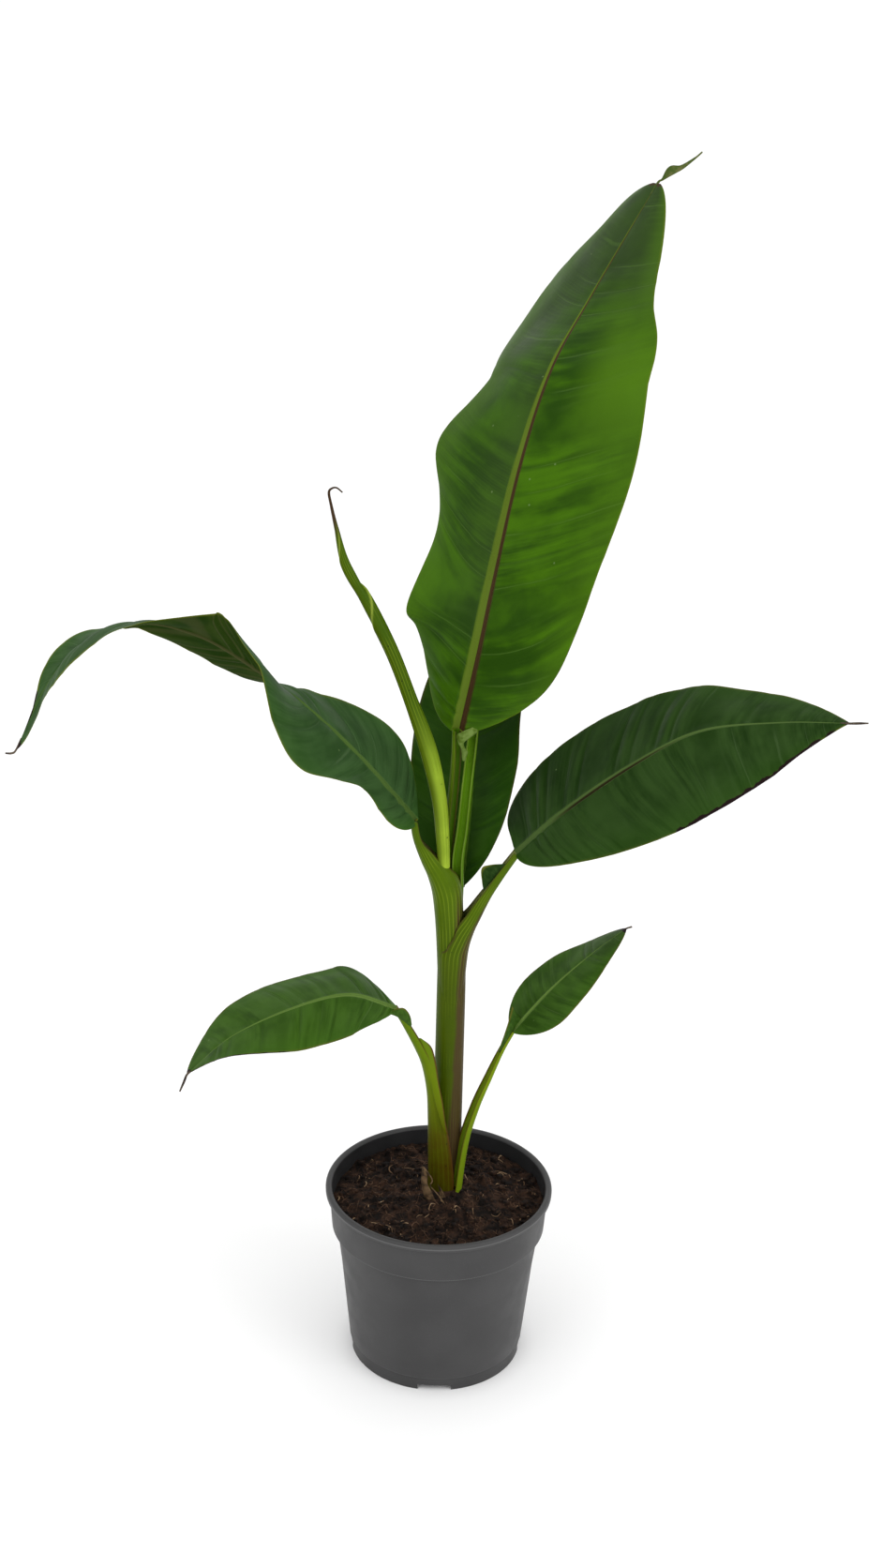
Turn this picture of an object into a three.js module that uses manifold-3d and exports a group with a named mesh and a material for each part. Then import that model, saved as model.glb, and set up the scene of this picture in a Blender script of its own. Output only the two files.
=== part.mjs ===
// A young banana plant in a round nursery pot: a short false stem of wrapped leaf sheaths, five large
// leaves (one still rolled as a spear), two small low leaves, potting soil and the pot.
// Millimetres, +Z up. The origin is the middle of the pot's flat underside, where the pot stands.
import * as THREE from "three";
import { mergeVertices } from "three/addons/utils/BufferGeometryUtils.js";
import Module from "manifold-3d";

const wasm = await Module();
wasm.setup();

// ---- driving dimensions ----
const GAP = 0.3; // clear space kept between neighbouring solids
const SIDES = 12; // facets round a stalk

const POT = {
  height: 141,
  rimRadius: 85,
  rimHeight: 5,
  lipSteps: 4, // facets over the rounded lip
  collarTop: 82,
  collarRadius: 80,
  collarBottom: 108.5,
  bodyTop: 75.5,
  bodyFoot: 66,
  footRadius: 64.5,
  footHeight: 11,
  wall: 1.8,
  floor: 2.5, // thickness of the raised floor
  recess: 5, // height of the raised floor's underside
  bossRadius: 22, // flat middle of the underside
  ringWidth: 5,
  notchWidth: 25,
  notchHeight: 4.5,
  notches: 4,
  holeRadius: 4.5,
  holeCircle: 42,
  holes: 8,
  holeSides: 12,
  segments: 44,
};

const SOIL = { edgeLevel: 123, crown: 129, crownRadius: 32, segments: 32 };

const STEM = {
  // centre x, y, z and half width, half depth; the lowest lies below the flat cut at soil level
  stations: [
    [4, 12, 122, 11.6, 11],
    [5, 11, 175, 11, 10.5],
    [5.5, 10, 240, 10.6, 10],
    [5.6, 8, 310, 10.4, 9.6],
    [5, 7, 345, 10.3, 9.4],
    [3, 6, 375, 10.8, 9.4],
  ],
};

const BLADE_THICKNESS = 1.8;
const BLADE_START = 0.012; // share of the length where the blade's first row stands
const BLADE_END = 0.985;
const VEIN_SWEEP = 0.28; // how far the veins run forward on their way to the margin
const VEIN_BEND = 1.4;
const LOBE_AT = 0.07; // place of the base lobe along the outline

// A leaf: heading in degrees from +X, the midrib's points, its roll, and its two halves. The half named
// plus lies to the left of the heading seen from above. Each half has its width, the place of its widest
// point, the roundness of base and tip, the base lobe, and the fold and curl in degrees along the rib.
const LEAVES = {
  right_blade: {
    heading: 0,
    rib: [
      [48, -8, 418], [78, -22, 455], [123, -39, 499],
      [166, -51, 530], [217, -62, 542], [262, -78, 549],
    ],
    roll: [[0, 7], [0.5, 11], [1, 11]],
    plus: { width: 61, widest: 0.34, base: 0.4, tip: 0.9, lobe: 13, fold: [14, 7, 11], curl: [4, -18] },
    minus: { width: 63, widest: 0.6, base: 0.6, tip: 1.25, lobe: 0, fold: [-9, -18, -14], curl: [-14, -20] },
    thread: [[267, -80, 550, 1.6], [273, -82, 551, 0.7]],
    rows: 24,
    across: 3,
  },
  tall_blade: {
    heading: 35,
    rib: [
      [5, -2, 505], [17, 0, 570], [27, 22, 616], [43, 47, 686],
      [63, 79, 742], [90, 118, 783], [136, 152, 858],
    ],
    roll: [[0, 8], [0.5, 13], [1, -7]],
    plus: {
      width: 81, widest: 0.6, base: 0.4, tip: 0.5, lobe: 2, fold: [2, -2, -10, 8], curl: [-5, -25],
      wave: 2, waves: 3.4, phase: -0.42, ripple: 9,
    },
    minus: {
      width: 88, widest: 0.37, base: 0.76, tip: 0.65, lobe: 0, fold: [-24, 2, 0, 6], curl: [-10, -11],
      wave: -6, waves: 2.17, phase: 0.19, ripple: -1,
    },
    thread: [
      [139, 153, 860, 1], [145, 154, 866, 3.4], [152, 156, 868, 1.8],
      [161, 158, 874, 0.8], [166, 160, 878, 0.6],
    ],
    rows: 31,
    across: 3,
  },
  left_blade: {
    heading: 180,
    rib: [
      [-21, -4, 438], [-62, -10, 490], [-97, -24, 531], [-135, -24, 561], [-170, -21, 580],
      [-207, -33, 592], [-241, -35, 579], [-269, -32, 550], [-294, -38, 500],
    ],
    roll: [[0, -23], [0.28, 9], [0.44, 35], [0.54, 39], [0.68, 26], [1, -51]],
    plus: {
      width: 50, widest: 0.37, base: 0.54, tip: 0.88, lobe: 1, fold: [13, -13, -6, 10, 1], curl: [-17, -11],
      wave: 14, waves: 2.62, phase: -0.15, ripple: -2,
    },
    minus: {
      width: 48, widest: 0.28, base: 0.73, tip: 1.26, lobe: 0, fold: [24, 10, 0, 10, 10], curl: [-2, -4],
      wave: 3.5, waves: 3.1, phase: -0.19, ripple: 9,
    },
    thread: [[-297, -38, 498, 0.8], [-301, -38, 498, 0.6]],
    rows: 40,
    across: 3,
  },
  back_blade: {
    heading: 80,
    rib: [[10, 14, 379], [15, 26, 438], [18, 46, 488], [21, 76, 530], [27, 112, 564]],
    roll: [[0, 0], [1, 0]],
    plus: { width: 42, widest: 0.5, base: 0.75, tip: 0.85, lobe: 0, fold: [12, 8, 10], curl: [-8, -8] },
    minus: { width: 42, widest: 0.5, base: 0.85, tip: 0.85, lobe: 0, fold: [30, 34, 20], curl: [0, -8] },
    thread: [[28, 117, 566, 0.8]],
    rows: 18,
    across: 3,
  },
  low_left_blade: {
    heading: 180,
    rib: [[-33, -8, 293], [-68, -21, 310], [-109, -30, 302], [-151, -45, 286], [-181, -55, 261]],
    roll: [[0, -27], [0.5, -16], [1, -9]],
    plus: { width: 38, widest: 0.47, base: 0.8, tip: 1.3, lobe: 0, fold: [-15, 4], curl: [-15, -5] },
    minus: { width: 44, widest: 0.28, base: 0.8, tip: 0.7, lobe: 0, fold: [-20, 10], curl: [-17, -2] },
    thread: [[-183, -56, 256, 0.9], [-186, -58, 249, 0.6]],
    rows: 18,
    across: 3,
  },
  low_right_blade: {
    heading: 20,
    rib: [[51, 7, 267], [79, 15, 299], [108, 24, 324], [133, 33, 341]],
    roll: [[0, 16], [1, -6]],
    plus: { width: 27, widest: 0.36, base: 0.58, tip: 0.64, lobe: 0, fold: [3, -1], curl: [-6, -9] },
    minus: { width: 28, widest: 0.38, base: 0.76, tip: 0.8, lobe: 0, fold: [-4, -3], curl: [-10, -10] },
    thread: [[137, 34, 342, 0.7]],
    rows: 14,
    across: 3,
  },
};
const LEFT_SPLIT = [0.4, 0.404]; // where the arching leaf is parted at its bend

// A stalk's stations: centre x, y, z and half width, half depth.
const STALKS = {
  low_left_stalk: [
    [2.5, 4, 122, 12.5, 13], [1.5, 0, 165, 10.2, 11], [-1, -3, 198, 7.8, 8],
    [-5, -6, 225, 5.4, 4.6], [-10, -8, 247, 5.2, 4], [-17, -9, 265, 4.8, 3.8],
    [-25.5, -9, 280, 4.2, 3.2], [-32, -8.2, 291.6, 3.6, 2.6],
  ],
  low_right_stalk: [
    [15.6, 6, 122, 4, 4], [19.4, 6, 174, 3.6, 3.2], [26, 6, 203, 3.1, 2.8],
    [35, 6, 230, 2.6, 2.4], [43.5, 6.5, 252, 2.5, 2.2], [50, 7, 265.6, 2.5, 2],
  ],
  right_stalk: [
    [9, 3, 335, 6, 6], [16, 1, 350, 6, 5.5], [25, -2, 372, 4.6, 4.4],
    [34, -5, 393, 4.6, 4.2], [47, -7.6, 416.8, 4.2, 3.6],
  ],
  left_stalk: [
    [-2, 3, 376, 9.5, 7], [-9, 0, 395, 8, 6], [-17, -2, 416, 6.4, 5], [-20.4, -3.8, 436.6, 5, 3.6],
  ],
  tall_stalk: [
    [3, 4, 376, 5.5, 5], [3, 1, 400, 4.6, 4.4], [4.4, 0, 440, 4.3, 4],
    [5.4, -1, 475, 4, 3.6], [5.2, -2, 503.6, 3.4, 3],
  ],
};

// The spear: a leaf still rolled up, ending in a thin hook.
const SPEAR = [
  [-1, -3, 376, 4.4, 4], [-2, -7, 407, 4.8, 4.6], [-3, -8.5, 430, 5.2, 5],
  [-6, -9, 460, 5.8, 5.4], [-14, -9, 495, 6.6, 6], [-27, -10, 533, 5.3, 5],
  [-40, -9.5, 567, 5.2, 4.8], [-56, -8.5, 599, 4.9, 4.4], [-72, -7, 627, 4.2, 3.6],
  [-78.5, -6, 652, 1.6, 1.5], [-82, -5, 667, 1, 1], [-83.6, -5, 676, 0.9, 0.9],
  [-81.6, -5, 679, 0.7, 0.7], [-78.4, -5, 679.4, 0.6, 0.6], [-74.6, -5, 676.4, 0.5, 0.5],
];

// ---- materials ----
const finish = (color, roughness) => new THREE.MeshStandardMaterial({ color, roughness, metalness: 0 });
const FINISH = {
  pot: finish(0x505153, 0.55),
  soil: finish(0x241a14, 1),
  stem: finish(0x6f8420, 0.5),
  stalk: finish(0x6f9a22, 0.5),
  leaf: finish(0x2f6431, 0.45),
  young: finish(0x3f8514, 0.45),
};

// ---- small helpers ----
const vec = ([x, y, z]) => new THREE.Vector3(x, y, z);
const radians = THREE.MathUtils.degToRad;
const curveOf = (points) => new THREE.CatmullRomCurve3(points.map(vec), false, "catmullrom", 0.5);

// Values given at stations along 0 to 1, blended smoothly between neighbours.
function ease(stations, s) {
  let i = 0;
  while (i < stations.length - 2 && s >= stations[i + 1][0]) i++;
  const [[s0, v0], [s1, v1]] = [stations[i], stations[i + 1]];
  const f = THREE.MathUtils.clamp((s - s0) / (s1 - s0), 0, 1);
  return v0 + (v1 - v0) * f * f * (3 - 2 * f);
}
const even = (values) => values.map((v, i) => [i / (values.length - 1), v]);

// The level vector across a heading, made square to a direction.
function sideOf(heading, tangent) {
  const a = radians(heading);
  const side = new THREE.Vector3(-Math.sin(a), Math.cos(a), 0);
  return side.addScaledVector(tangent, -side.dot(tangent)).normalize();
}

// A closed skin over rings with equal counts. Each end is closed by stitching point i to its opposite.
function skin(rings) {
  const n = rings[0].length;
  const position = rings.flat().flatMap((p) => [p.x, p.y, p.z]);
  const index = [];
  for (let r = 0; r + 1 < rings.length; r++)
    for (let i = 0; i < n; i++) {
      const [a, b] = [r * n + i, r * n + ((i + 1) % n)];
      index.push(a, b, b + n, a, b + n, a + n);
    }
  const last = (rings.length - 1) * n;
  for (let i = 0; i + 1 < n / 2; i++) {
    const [a, b, c, d] = [i, i + 1, n - 2 - i, n - 1 - i];
    index.push(a, c, b, a, d, c);
    index.push(last + a, last + b, last + c, last + a, last + c, last + d);
  }
  const geometry = new THREE.BufferGeometry();
  geometry.setAttribute("position", new THREE.Float32BufferAttribute(position, 3));
  geometry.setIndex(index);
  return geometry;
}

function manifoldOf(geometry) {
  const bare = geometry.clone();
  bare.deleteAttribute("normal");
  bare.deleteAttribute("uv");
  const merged = mergeVertices(bare, 1e-4);
  const mesh = { numProp: 3, vertProperties: merged.attributes.position.array };
  const solid = new wasm.Manifold(new wasm.Mesh({ ...mesh, triVerts: new Uint32Array(merged.index.array) }));
  if (solid.volume() > 0) return solid;
  const turned = new Uint32Array(merged.index.array).reverse();
  return new wasm.Manifold(new wasm.Mesh({ ...mesh, triVerts: turned }));
}

function geometryOf(solid) {
  const mesh = solid.getMesh();
  const geometry = new THREE.BufferGeometry();
  geometry.setAttribute("position", new THREE.Float32BufferAttribute(mesh.vertProperties, 3));
  geometry.setIndex(Array.from(mesh.triVerts));
  geometry.computeVertexNormals();
  return geometry;
}

// The largest body that is left after cutting the others away.
function cut(solid, ...others) {
  const rest = others.reduce((left, other) => left.subtract(other), solid);
  return rest.decompose().reduce((a, b) => (a.volume() > b.volume() ? a : b));
}

// ---- stalks and stem: oval rings along a curve ----
function ovalLoft(stations, { grow = 0, steps = 2, level = false } = {}) {
  const curve = curveOf(stations);
  const count = (stations.length - 1) * steps;
  const widths = even(stations.map((s) => s[3]));
  const depths = even(stations.map((s) => s[4]));
  const rings = [];
  for (let k = 0; k <= count; k++) {
    const t = k / count;
    const centre = curve.getPoint(t);
    const along = level ? new THREE.Vector3(0, 0, 1) : curve.getTangent(t);
    const across = new THREE.Vector3(1, 0, 0).addScaledVector(along, -along.x).normalize();
    const out = new THREE.Vector3().crossVectors(along, across);
    const [w, d] = [ease(widths, t) + grow, ease(depths, t) + grow];
    rings.push(
      Array.from({ length: SIDES }, (_, i) => {
        const a = ((i + 0.5) / SIDES) * 2 * Math.PI;
        return centre.clone().addScaledVector(across, w * Math.cos(a)).addScaledVector(out, d * Math.sin(a));
      }),
    );
  }
  return manifoldOf(skin(rings));
}

// ---- blades ----
// Half width along the outline: rises as a power of a parabola to the widest point and falls to the tip.
function halfWidth(half, u) {
  const far = u < half.widest ? 1 - u / half.widest : (u - half.widest) / (1 - half.widest);
  return half.width * Math.pow(Math.max(0, 1 - far * far), u < half.widest ? half.base : half.tip);
}

function bladeSurface(leaf) {
  const curve = curveOf(leaf.rib);
  curve.arcLengthDivisions = 400;
  const length = curve.getLength();
  const frameAt = (s) => {
    const at = THREE.MathUtils.clamp(s, 0, 1);
    const tangent = curve.getTangentAt(at);
    const across = sideOf(leaf.heading, tangent);
    const up = new THREE.Vector3().crossVectors(tangent, across);
    const roll = radians(ease(leaf.roll, at));
    const side = across.clone().multiplyScalar(Math.cos(roll)).addScaledVector(up, Math.sin(roll));
    const normal = up.multiplyScalar(Math.cos(roll)).addScaledVector(across, -Math.sin(roll));
    const point = curve.getPointAt(at).addScaledVector(tangent, (s - at) * length);
    return { point, side, normal };
  };
  // u runs along the outline, v from -1 at the minus margin over 0 on the rib to 1 at the plus margin.
  return (u, v) => {
    const sign = v < 0 ? -1 : 1;
    const half = v < 0 ? leaf.minus : leaf.plus;
    const out = Math.abs(v);
    const edge = u - (half.lobe / length) * (u / LOBE_AT) * Math.exp(1 - u / LOBE_AT);
    const root = Math.pow(u, 1 + VEIN_SWEEP);
    const s = root + (edge - root) * Math.pow(out, VEIN_BEND);
    const { point, side, normal } = frameAt(s);
    const at = THREE.MathUtils.clamp(s, 0, 1);
    const angle = radians(ease(even(half.fold), at) + (ease(even(half.curl), at) * out) / 2);
    const swell = half.wave
      ? Math.sin(2 * Math.PI * (half.waves * u + half.phase)) * Math.sqrt(Math.sin(Math.PI * u))
      : 0;
    const reach = (halfWidth(half, u) + (half.ripple ?? 0) * swell * out) * out;
    return point
      .addScaledVector(side, sign * reach * Math.cos(angle))
      .addScaledVector(normal, reach * Math.sin(angle) + (half.wave ?? 0) * out * out * swell);
  };
}

function bladeSolid(leaf, from = BLADE_START, to = BLADE_END, withThread = true) {
  const surface = bladeSurface(leaf);
  const columns = 2 * leaf.across;
  const nudge = 1e-3;
  const rowsHere = Math.max(6, Math.round(leaf.rows * (to - from)));
  const rings = [];
  for (let r = 0; r <= rowsHere; r++) {
    const u = from + ((to - from) * r) / rowsHere;
    const [upper, lower] = [[], []];
    for (let c = 0; c <= columns; c++) {
      const v = (2 * c) / columns - 1;
      const inner = v * (1 - nudge);
      const along = surface(u + nudge, inner).sub(surface(u - nudge, inner));
      const span = surface(u, Math.min(v + nudge, 1)).sub(surface(u, Math.max(v - nudge, -1)));
      const normal = along.cross(span).normalize().multiplyScalar(BLADE_THICKNESS / 2);
      const middle = surface(u, v);
      upper.push(middle.clone().add(normal));
      lower.push(middle.clone().sub(normal));
    }
    rings.push([...upper, ...lower.reverse()]);
  }
  if (withThread) rings.push(...threadRings(leaf, columns, rings[rings.length - 1]));
  return manifoldOf(skin(rings));
}

// The drawn-out tip: flat rings with as many points as the blade's rows.
function threadRings(leaf, columns, lastRing) {
  const stations = leaf.thread;
  const start = lastRing.reduce((sum, p) => sum.add(p), new THREE.Vector3()).divideScalar(lastRing.length);
  return stations.map(([x, y, z, half], k) => {
    const centre = vec([x, y, z]);
    const before = k ? vec(stations[k - 1]) : start;
    const along = centre.clone().sub(before).normalize();
    const across = sideOf(leaf.heading, along);
    const thick = Math.min(half, BLADE_THICKNESS / 2);
    const normal = new THREE.Vector3().crossVectors(along, across).multiplyScalar(thick);
    const upper = [];
    const lower = [];
    for (let c = 0; c <= columns; c++) {
      const point = centre.clone().addScaledVector(across, half * ((2 * c) / columns - 1));
      upper.push(point.clone().add(normal));
      lower.push(point.clone().sub(normal));
    }
    return [...upper, ...lower.reverse()];
  });
}

// ---- pot and soil ----
function lathe(profile, segments) {
  const geometry = new THREE.LatheGeometry(profile.map(([r, z]) => new THREE.Vector2(r, z)), segments);
  geometry.rotateX(Math.PI / 2);
  return manifoldOf(geometry);
}

function potSolid() {
  const p = POT;
  const inner = p.rimRadius - p.rimHeight;
  const lip = Array.from({ length: p.lipSteps + 1 }, (_, i) => {
    const a = (i / p.lipSteps) * Math.PI;
    const half = p.rimHeight / 2;
    return [p.rimRadius - half + half * Math.cos(a), p.height - half + half * Math.sin(a)];
  });
  const innerAt = (outer) => outer - p.wall;
  const wallAndFloor = lathe(
    [
      [0, 0],
      [p.bossRadius, 0],
      [p.bossRadius + 1, p.recess],
      [p.footRadius - p.ringWidth - 1, p.recess],
      [p.footRadius - p.ringWidth, 0],
      [p.footRadius, 0],
      [p.footRadius, p.footHeight],
      [p.bodyFoot, p.footHeight + 0.8],
      [p.bodyTop, p.collarBottom - 2],
      [p.collarRadius, p.collarBottom],
      [p.collarTop, p.height - p.rimHeight - 0.5],
      [p.rimRadius, p.height - p.rimHeight],
      ...lip,
      [inner, p.height - p.rimHeight],
      [innerAt(p.collarRadius), p.collarBottom + 2],
      [innerAt(p.bodyTop), p.collarBottom - 3],
      [innerAt(p.bodyFoot), p.footHeight],
      [innerAt(p.bodyFoot) - 2, p.recess + p.floor],
      [0, p.recess + p.floor],
    ],
    p.segments,
  );
  const reach = 2 * p.ringWidth;
  const cutters = [];
  for (let i = 0; i < p.notches; i++) {
    const notch = new THREE.BoxGeometry(p.notchWidth, 2 * reach, 2 * p.notchHeight);
    notch.translate(0, -p.footRadius, 0).rotateZ((i * 2 * Math.PI) / p.notches);
    cutters.push(manifoldOf(notch));
  }
  for (let i = 0; i < p.holes; i++) {
    const a = ((i + 0.5) * 2 * Math.PI) / p.holes;
    const hole = new THREE.CylinderGeometry(p.holeRadius, p.holeRadius, 6 * p.floor, p.holeSides);
    hole.rotateX(Math.PI / 2);
    hole.translate(p.holeCircle * Math.cos(a), p.holeCircle * Math.sin(a), p.recess + p.floor / 2);
    cutters.push(manifoldOf(hole));
  }
  return cut(wallAndFloor, ...cutters);
}

function soilSolid() {
  const bottom = POT.recess + POT.floor + GAP;
  const inner = (z) => {
    const [z0, r0, z1, r1] = [POT.footHeight, POT.bodyFoot, POT.collarBottom - 3, POT.bodyTop];
    return r0 + ((r1 - r0) * (z - z0)) / (z1 - z0) - POT.wall - 2 * GAP;
  };
  const step = POT.collarBottom - 4;
  return lathe(
    [
      [0, bottom],
      [inner(POT.footHeight) - 2.5, bottom],
      [inner(POT.footHeight), POT.footHeight + 1],
      [inner(step), step],
      [inner(step), POT.collarBottom],
      [inner(step) + 3.5, POT.collarBottom + 3],
      [inner(step) + 4, SOIL.edgeLevel],
      [(inner(step) + SOIL.crownRadius) / 2, (SOIL.edgeLevel + SOIL.crown) / 2],
      [SOIL.crownRadius, SOIL.crown],
      [0, SOIL.crown],
    ],
    SOIL.segments,
  );
}

// ---- assembly ----
const plant = new THREE.Group();
plant.name = "banana_plant";
function addNode(name, solid, material) {
  const mesh = new THREE.Mesh(geometryOf(solid), material);
  mesh.name = name;
  plant.add(mesh);
}

addNode("pot", potSolid(), FINISH.pot);
addNode("soil", soilSolid(), FINISH.soil);

// What stands on the soil is cut flat there. Each stalk gives way to the stem and to the stalks before it.
const flatFoot = (solid) => solid.trimByPlane([0, 0, 1], SOIL.crown + GAP);
addNode("pseudostem", flatFoot(ovalLoft(STEM.stations, { level: true })), FINISH.stem);
const grown = [ovalLoft(STEM.stations, { level: true, grow: GAP })];
for (const [name, stations] of Object.entries(STALKS)) {
  addNode(name, flatFoot(cut(ovalLoft(stations), ...grown)), FINISH.stalk);
  grown.push(ovalLoft(stations, { grow: GAP }));
}
addNode("spear_leaf", cut(ovalLoft(SPEAR), ...grown), FINISH.young);
grown.push(ovalLoft(SPEAR, { grow: GAP }));

const { left_blade: leftLeaf, ...wholeLeaves } = LEAVES;
for (const [name, leaf] of Object.entries(wholeLeaves)) {
  const material = name === "tall_blade" ? FINISH.young : FINISH.leaf;
  addNode(name, cut(bladeSolid(leaf), ...grown), material);
}
const innerPart = bladeSolid(leftLeaf, BLADE_START, LEFT_SPLIT[0], false);
addNode("left_blade_inner", cut(innerPart, ...grown), FINISH.leaf);
addNode("left_blade_outer", bladeSolid(leftLeaf, LEFT_SPLIT[1], BLADE_END), FINISH.leaf);

export default plant;
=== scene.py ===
import math

import bpy
import numpy as np
from mathutils import Matrix


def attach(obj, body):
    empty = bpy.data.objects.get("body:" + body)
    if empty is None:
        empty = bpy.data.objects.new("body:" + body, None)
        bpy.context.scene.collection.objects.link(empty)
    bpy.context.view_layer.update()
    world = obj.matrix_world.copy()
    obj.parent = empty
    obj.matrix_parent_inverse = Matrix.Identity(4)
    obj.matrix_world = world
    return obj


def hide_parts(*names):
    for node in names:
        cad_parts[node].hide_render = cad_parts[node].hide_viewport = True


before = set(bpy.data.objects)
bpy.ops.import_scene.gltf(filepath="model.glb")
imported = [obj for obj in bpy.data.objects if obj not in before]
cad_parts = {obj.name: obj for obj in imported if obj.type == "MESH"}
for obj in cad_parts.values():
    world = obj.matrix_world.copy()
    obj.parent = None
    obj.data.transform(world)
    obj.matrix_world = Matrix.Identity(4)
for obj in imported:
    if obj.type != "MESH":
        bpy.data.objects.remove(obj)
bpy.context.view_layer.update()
mm = 0.001
chance = np.random.default_rng(7)


# Curves and small sums
def splineAt(points, t):
    # A smooth curve through all the points, evenly numbered from 0 to 1: the usual cubic of four neighbours.
    p = np.asarray(points, float)
    p = np.vstack([2 * p[0] - p[1], p, 2 * p[-1] - p[-2]])
    last = len(points) - 1
    x = np.clip(t, 0, 1) * last
    i = np.minimum(np.floor(x).astype(int), last - 1)
    f = (x - i)[..., None]
    a, b, c, d = p[i], p[i + 1], p[i + 2], p[i + 3]
    bend = (2 * a - 5 * b + 4 * c - d) * f**2 + (3 * b - a - 3 * c + d) * f**3
    return 0.5 * (2 * b + (c - a) * f + bend)


def eased(stations, s):
    # Values at stations along 0 to 1, each blended into the next by 3f^2 - 2f^3.
    places = np.array([row[0] for row in stations], float)
    values = np.array([row[1] for row in stations], float)
    i = np.clip(np.searchsorted(places, s, side="right") - 1, 0, len(places) - 2)
    f = np.clip((s - places[i]) / (places[i + 1] - places[i]), 0, 1)
    f = f * f * (3 - 2 * f)
    if values.ndim > 1:
        f = f[..., None]
    return values[i] + (values[i + 1] - values[i]) * f


def evenly(values):
    # The values as stations at equal steps from 0 to 1.
    return [(i / (len(values) - 1), value) for i, value in enumerate(values)]


def unit(vectors):
    # Each vector divided by its own length.
    return vectors / np.maximum(np.linalg.norm(vectors, axis=-1, keepdims=True), 1e-12)


def smoothStep(low, high, x):
    # 3f^2 - 2f^3, where f runs from 0 at low to 1 at high.
    f = np.clip((x - low) / (high - low), 0, 1)
    return f * f * (3 - 2 * f)


def patchy(x, y, size, seed):
    # Gentle unevenness from -1 to 1: nine crossing sine waves, about as long as size, in seeded directions.
    dice = np.random.default_rng(seed)
    total = 0
    for turn, phase, stretch in dice.uniform((0, 0, 0.6), (math.pi, 2 * math.pi, 1.7), (9, 3)):
        along = x * math.cos(turn) + y * math.sin(turn)
        total = total + np.sin(along * 2 * math.pi * stretch / size + phase)
    return total / 4.5


# Meshes
def ringPiece(name, rings, material, slot, nodes=(), uv=None, **marks):
    # A closed skin over rows of rings: side faces between neighbours, and each end stitched point to opposite
    # point.
    rows, n = rings.shape[:2]
    r, c = np.meshgrid(np.arange(rows - 1), np.arange(n), indexing="ij")
    a, b = r * n + c, r * n + (c + 1) % n
    sides = np.stack([a, b, b + n, a + n], -1).reshape(-1, 4)
    k = np.arange(n // 2 - 1)
    cap = np.stack([n - 1 - k, n - 2 - k, k + 1, k], -1)
    faces = np.vstack([sides, cap, cap[:, ::-1] + (rows - 1) * n])
    return facedPiece(name, rings.reshape(-1, 3), faces, material, slot, nodes, uv, **marks)


def facedPiece(name, points, faces, material, slot, nodes=(), uv=None, **marks):
    # Points in metres and faces of four; turned outward if the volume that they enclose comes out negative.
    p = points[faces]
    if np.einsum("ij,ij->", p[:, 0], np.cross(p[:, 1], p[:, 2]) + np.cross(p[:, 2], p[:, 3])) < 0:
        faces = faces[:, ::-1]
    mesh = bpy.data.meshes.new(name)
    mesh.from_pydata(points.tolist(), [], faces.tolist())
    mesh.polygons.foreach_set("use_smooth", np.ones(len(faces), bool))
    if uv is not None:
        layer = mesh.uv_layers.new(name="growth")
        layer.data.foreach_set("uv", uv.reshape(-1, 2)[faces.reshape(-1)].astype(np.float32).ravel())
    for mark, values in marks.items():
        field = mesh.attributes.new(mark, "FLOAT", "POINT")
        field.data.foreach_set("value", np.asarray(values, np.float32).ravel())
    mesh.materials.append(material)
    mesh.update()
    piece = bpy.data.objects.new(name, mesh)
    bpy.context.scene.collection.objects.link(piece)
    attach(piece, "root")
    if nodes:
        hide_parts(*nodes)
    print("piece", name, len(points), "points")
    return piece


def patchPiece(name, grid, thick, material, slot, rows=48, columns=28):
    # A smooth sheet through a grid of points in millimetres: splines down its columns, then across its rows,
    # with half of thick to each side along the normal, thinning to the rim. Its last column is the free edge.
    grid = np.array(grid, float)
    down = splineAt(grid.reshape(len(grid), -1), np.linspace(0, 1, rows)).reshape(rows, -1, 3)
    across = splineAt(down.transpose(1, 0, 2).reshape(down.shape[1], -1), np.linspace(0, 1, columns))
    sheet = across.reshape(columns, rows, 3).transpose(1, 0, 2)
    normal = unit(np.cross(np.gradient(sheet, axis=0), np.gradient(sheet, axis=1)))
    k, t = np.meshgrid(np.linspace(-1, 1, columns), np.linspace(-1, 1, rows))
    wall = thick / 2 * (0.25 + 0.75 * np.clip(1 - np.maximum(np.abs(k), np.abs(t)) ** 6, 0, 1))
    sides = [sheet + normal * wall[..., None], sheet - normal * wall[..., None]]
    rings = np.concatenate([sides[0], sides[1][:, ::-1]], axis=1) * mm
    edge = smoothStep(0.6, 0.85, k)
    growth = np.concatenate([np.stack([t * 2, k], -1), np.stack([t * 2, k], -1)[:, ::-1]], axis=1)
    rim = np.concatenate([edge, edge[:, ::-1]], axis=1)
    ringPiece(name, rings, material, slot, (), growth, upper=np.ones_like(rim), rim=rim, lip=rim)


# Shader shorthand
def feed(socket, value):
    # Links another node's output, or sets a number or a colour of three numbers.
    if isinstance(value, bpy.types.NodeSocket):
        socket.id_data.links.new(value, socket)
    else:
        socket.default_value = (*value, 1.0) if isinstance(value, tuple) else value


def startFinish(name, **sockets):
    # A new material; the shader's uniform values are given by socket name, with _ for a space.
    material = bpy.data.materials.new(name)
    material.use_nodes = True
    tree = material.node_tree
    shader = tree.nodes["Principled BSDF"]
    for socket, value in sockets.items():
        shader.inputs[socket.replace("_", " ")].default_value = value
    return material, tree, shader


def sums(tree, operation, *values):
    node = tree.nodes.new("ShaderNodeMath")
    node.operation = operation
    for socket, value in zip(node.inputs, values):
        feed(socket, value)
    return node.outputs[0]


def times(tree, first, second):
    return sums(tree, "MULTIPLY", first, second)


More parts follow.
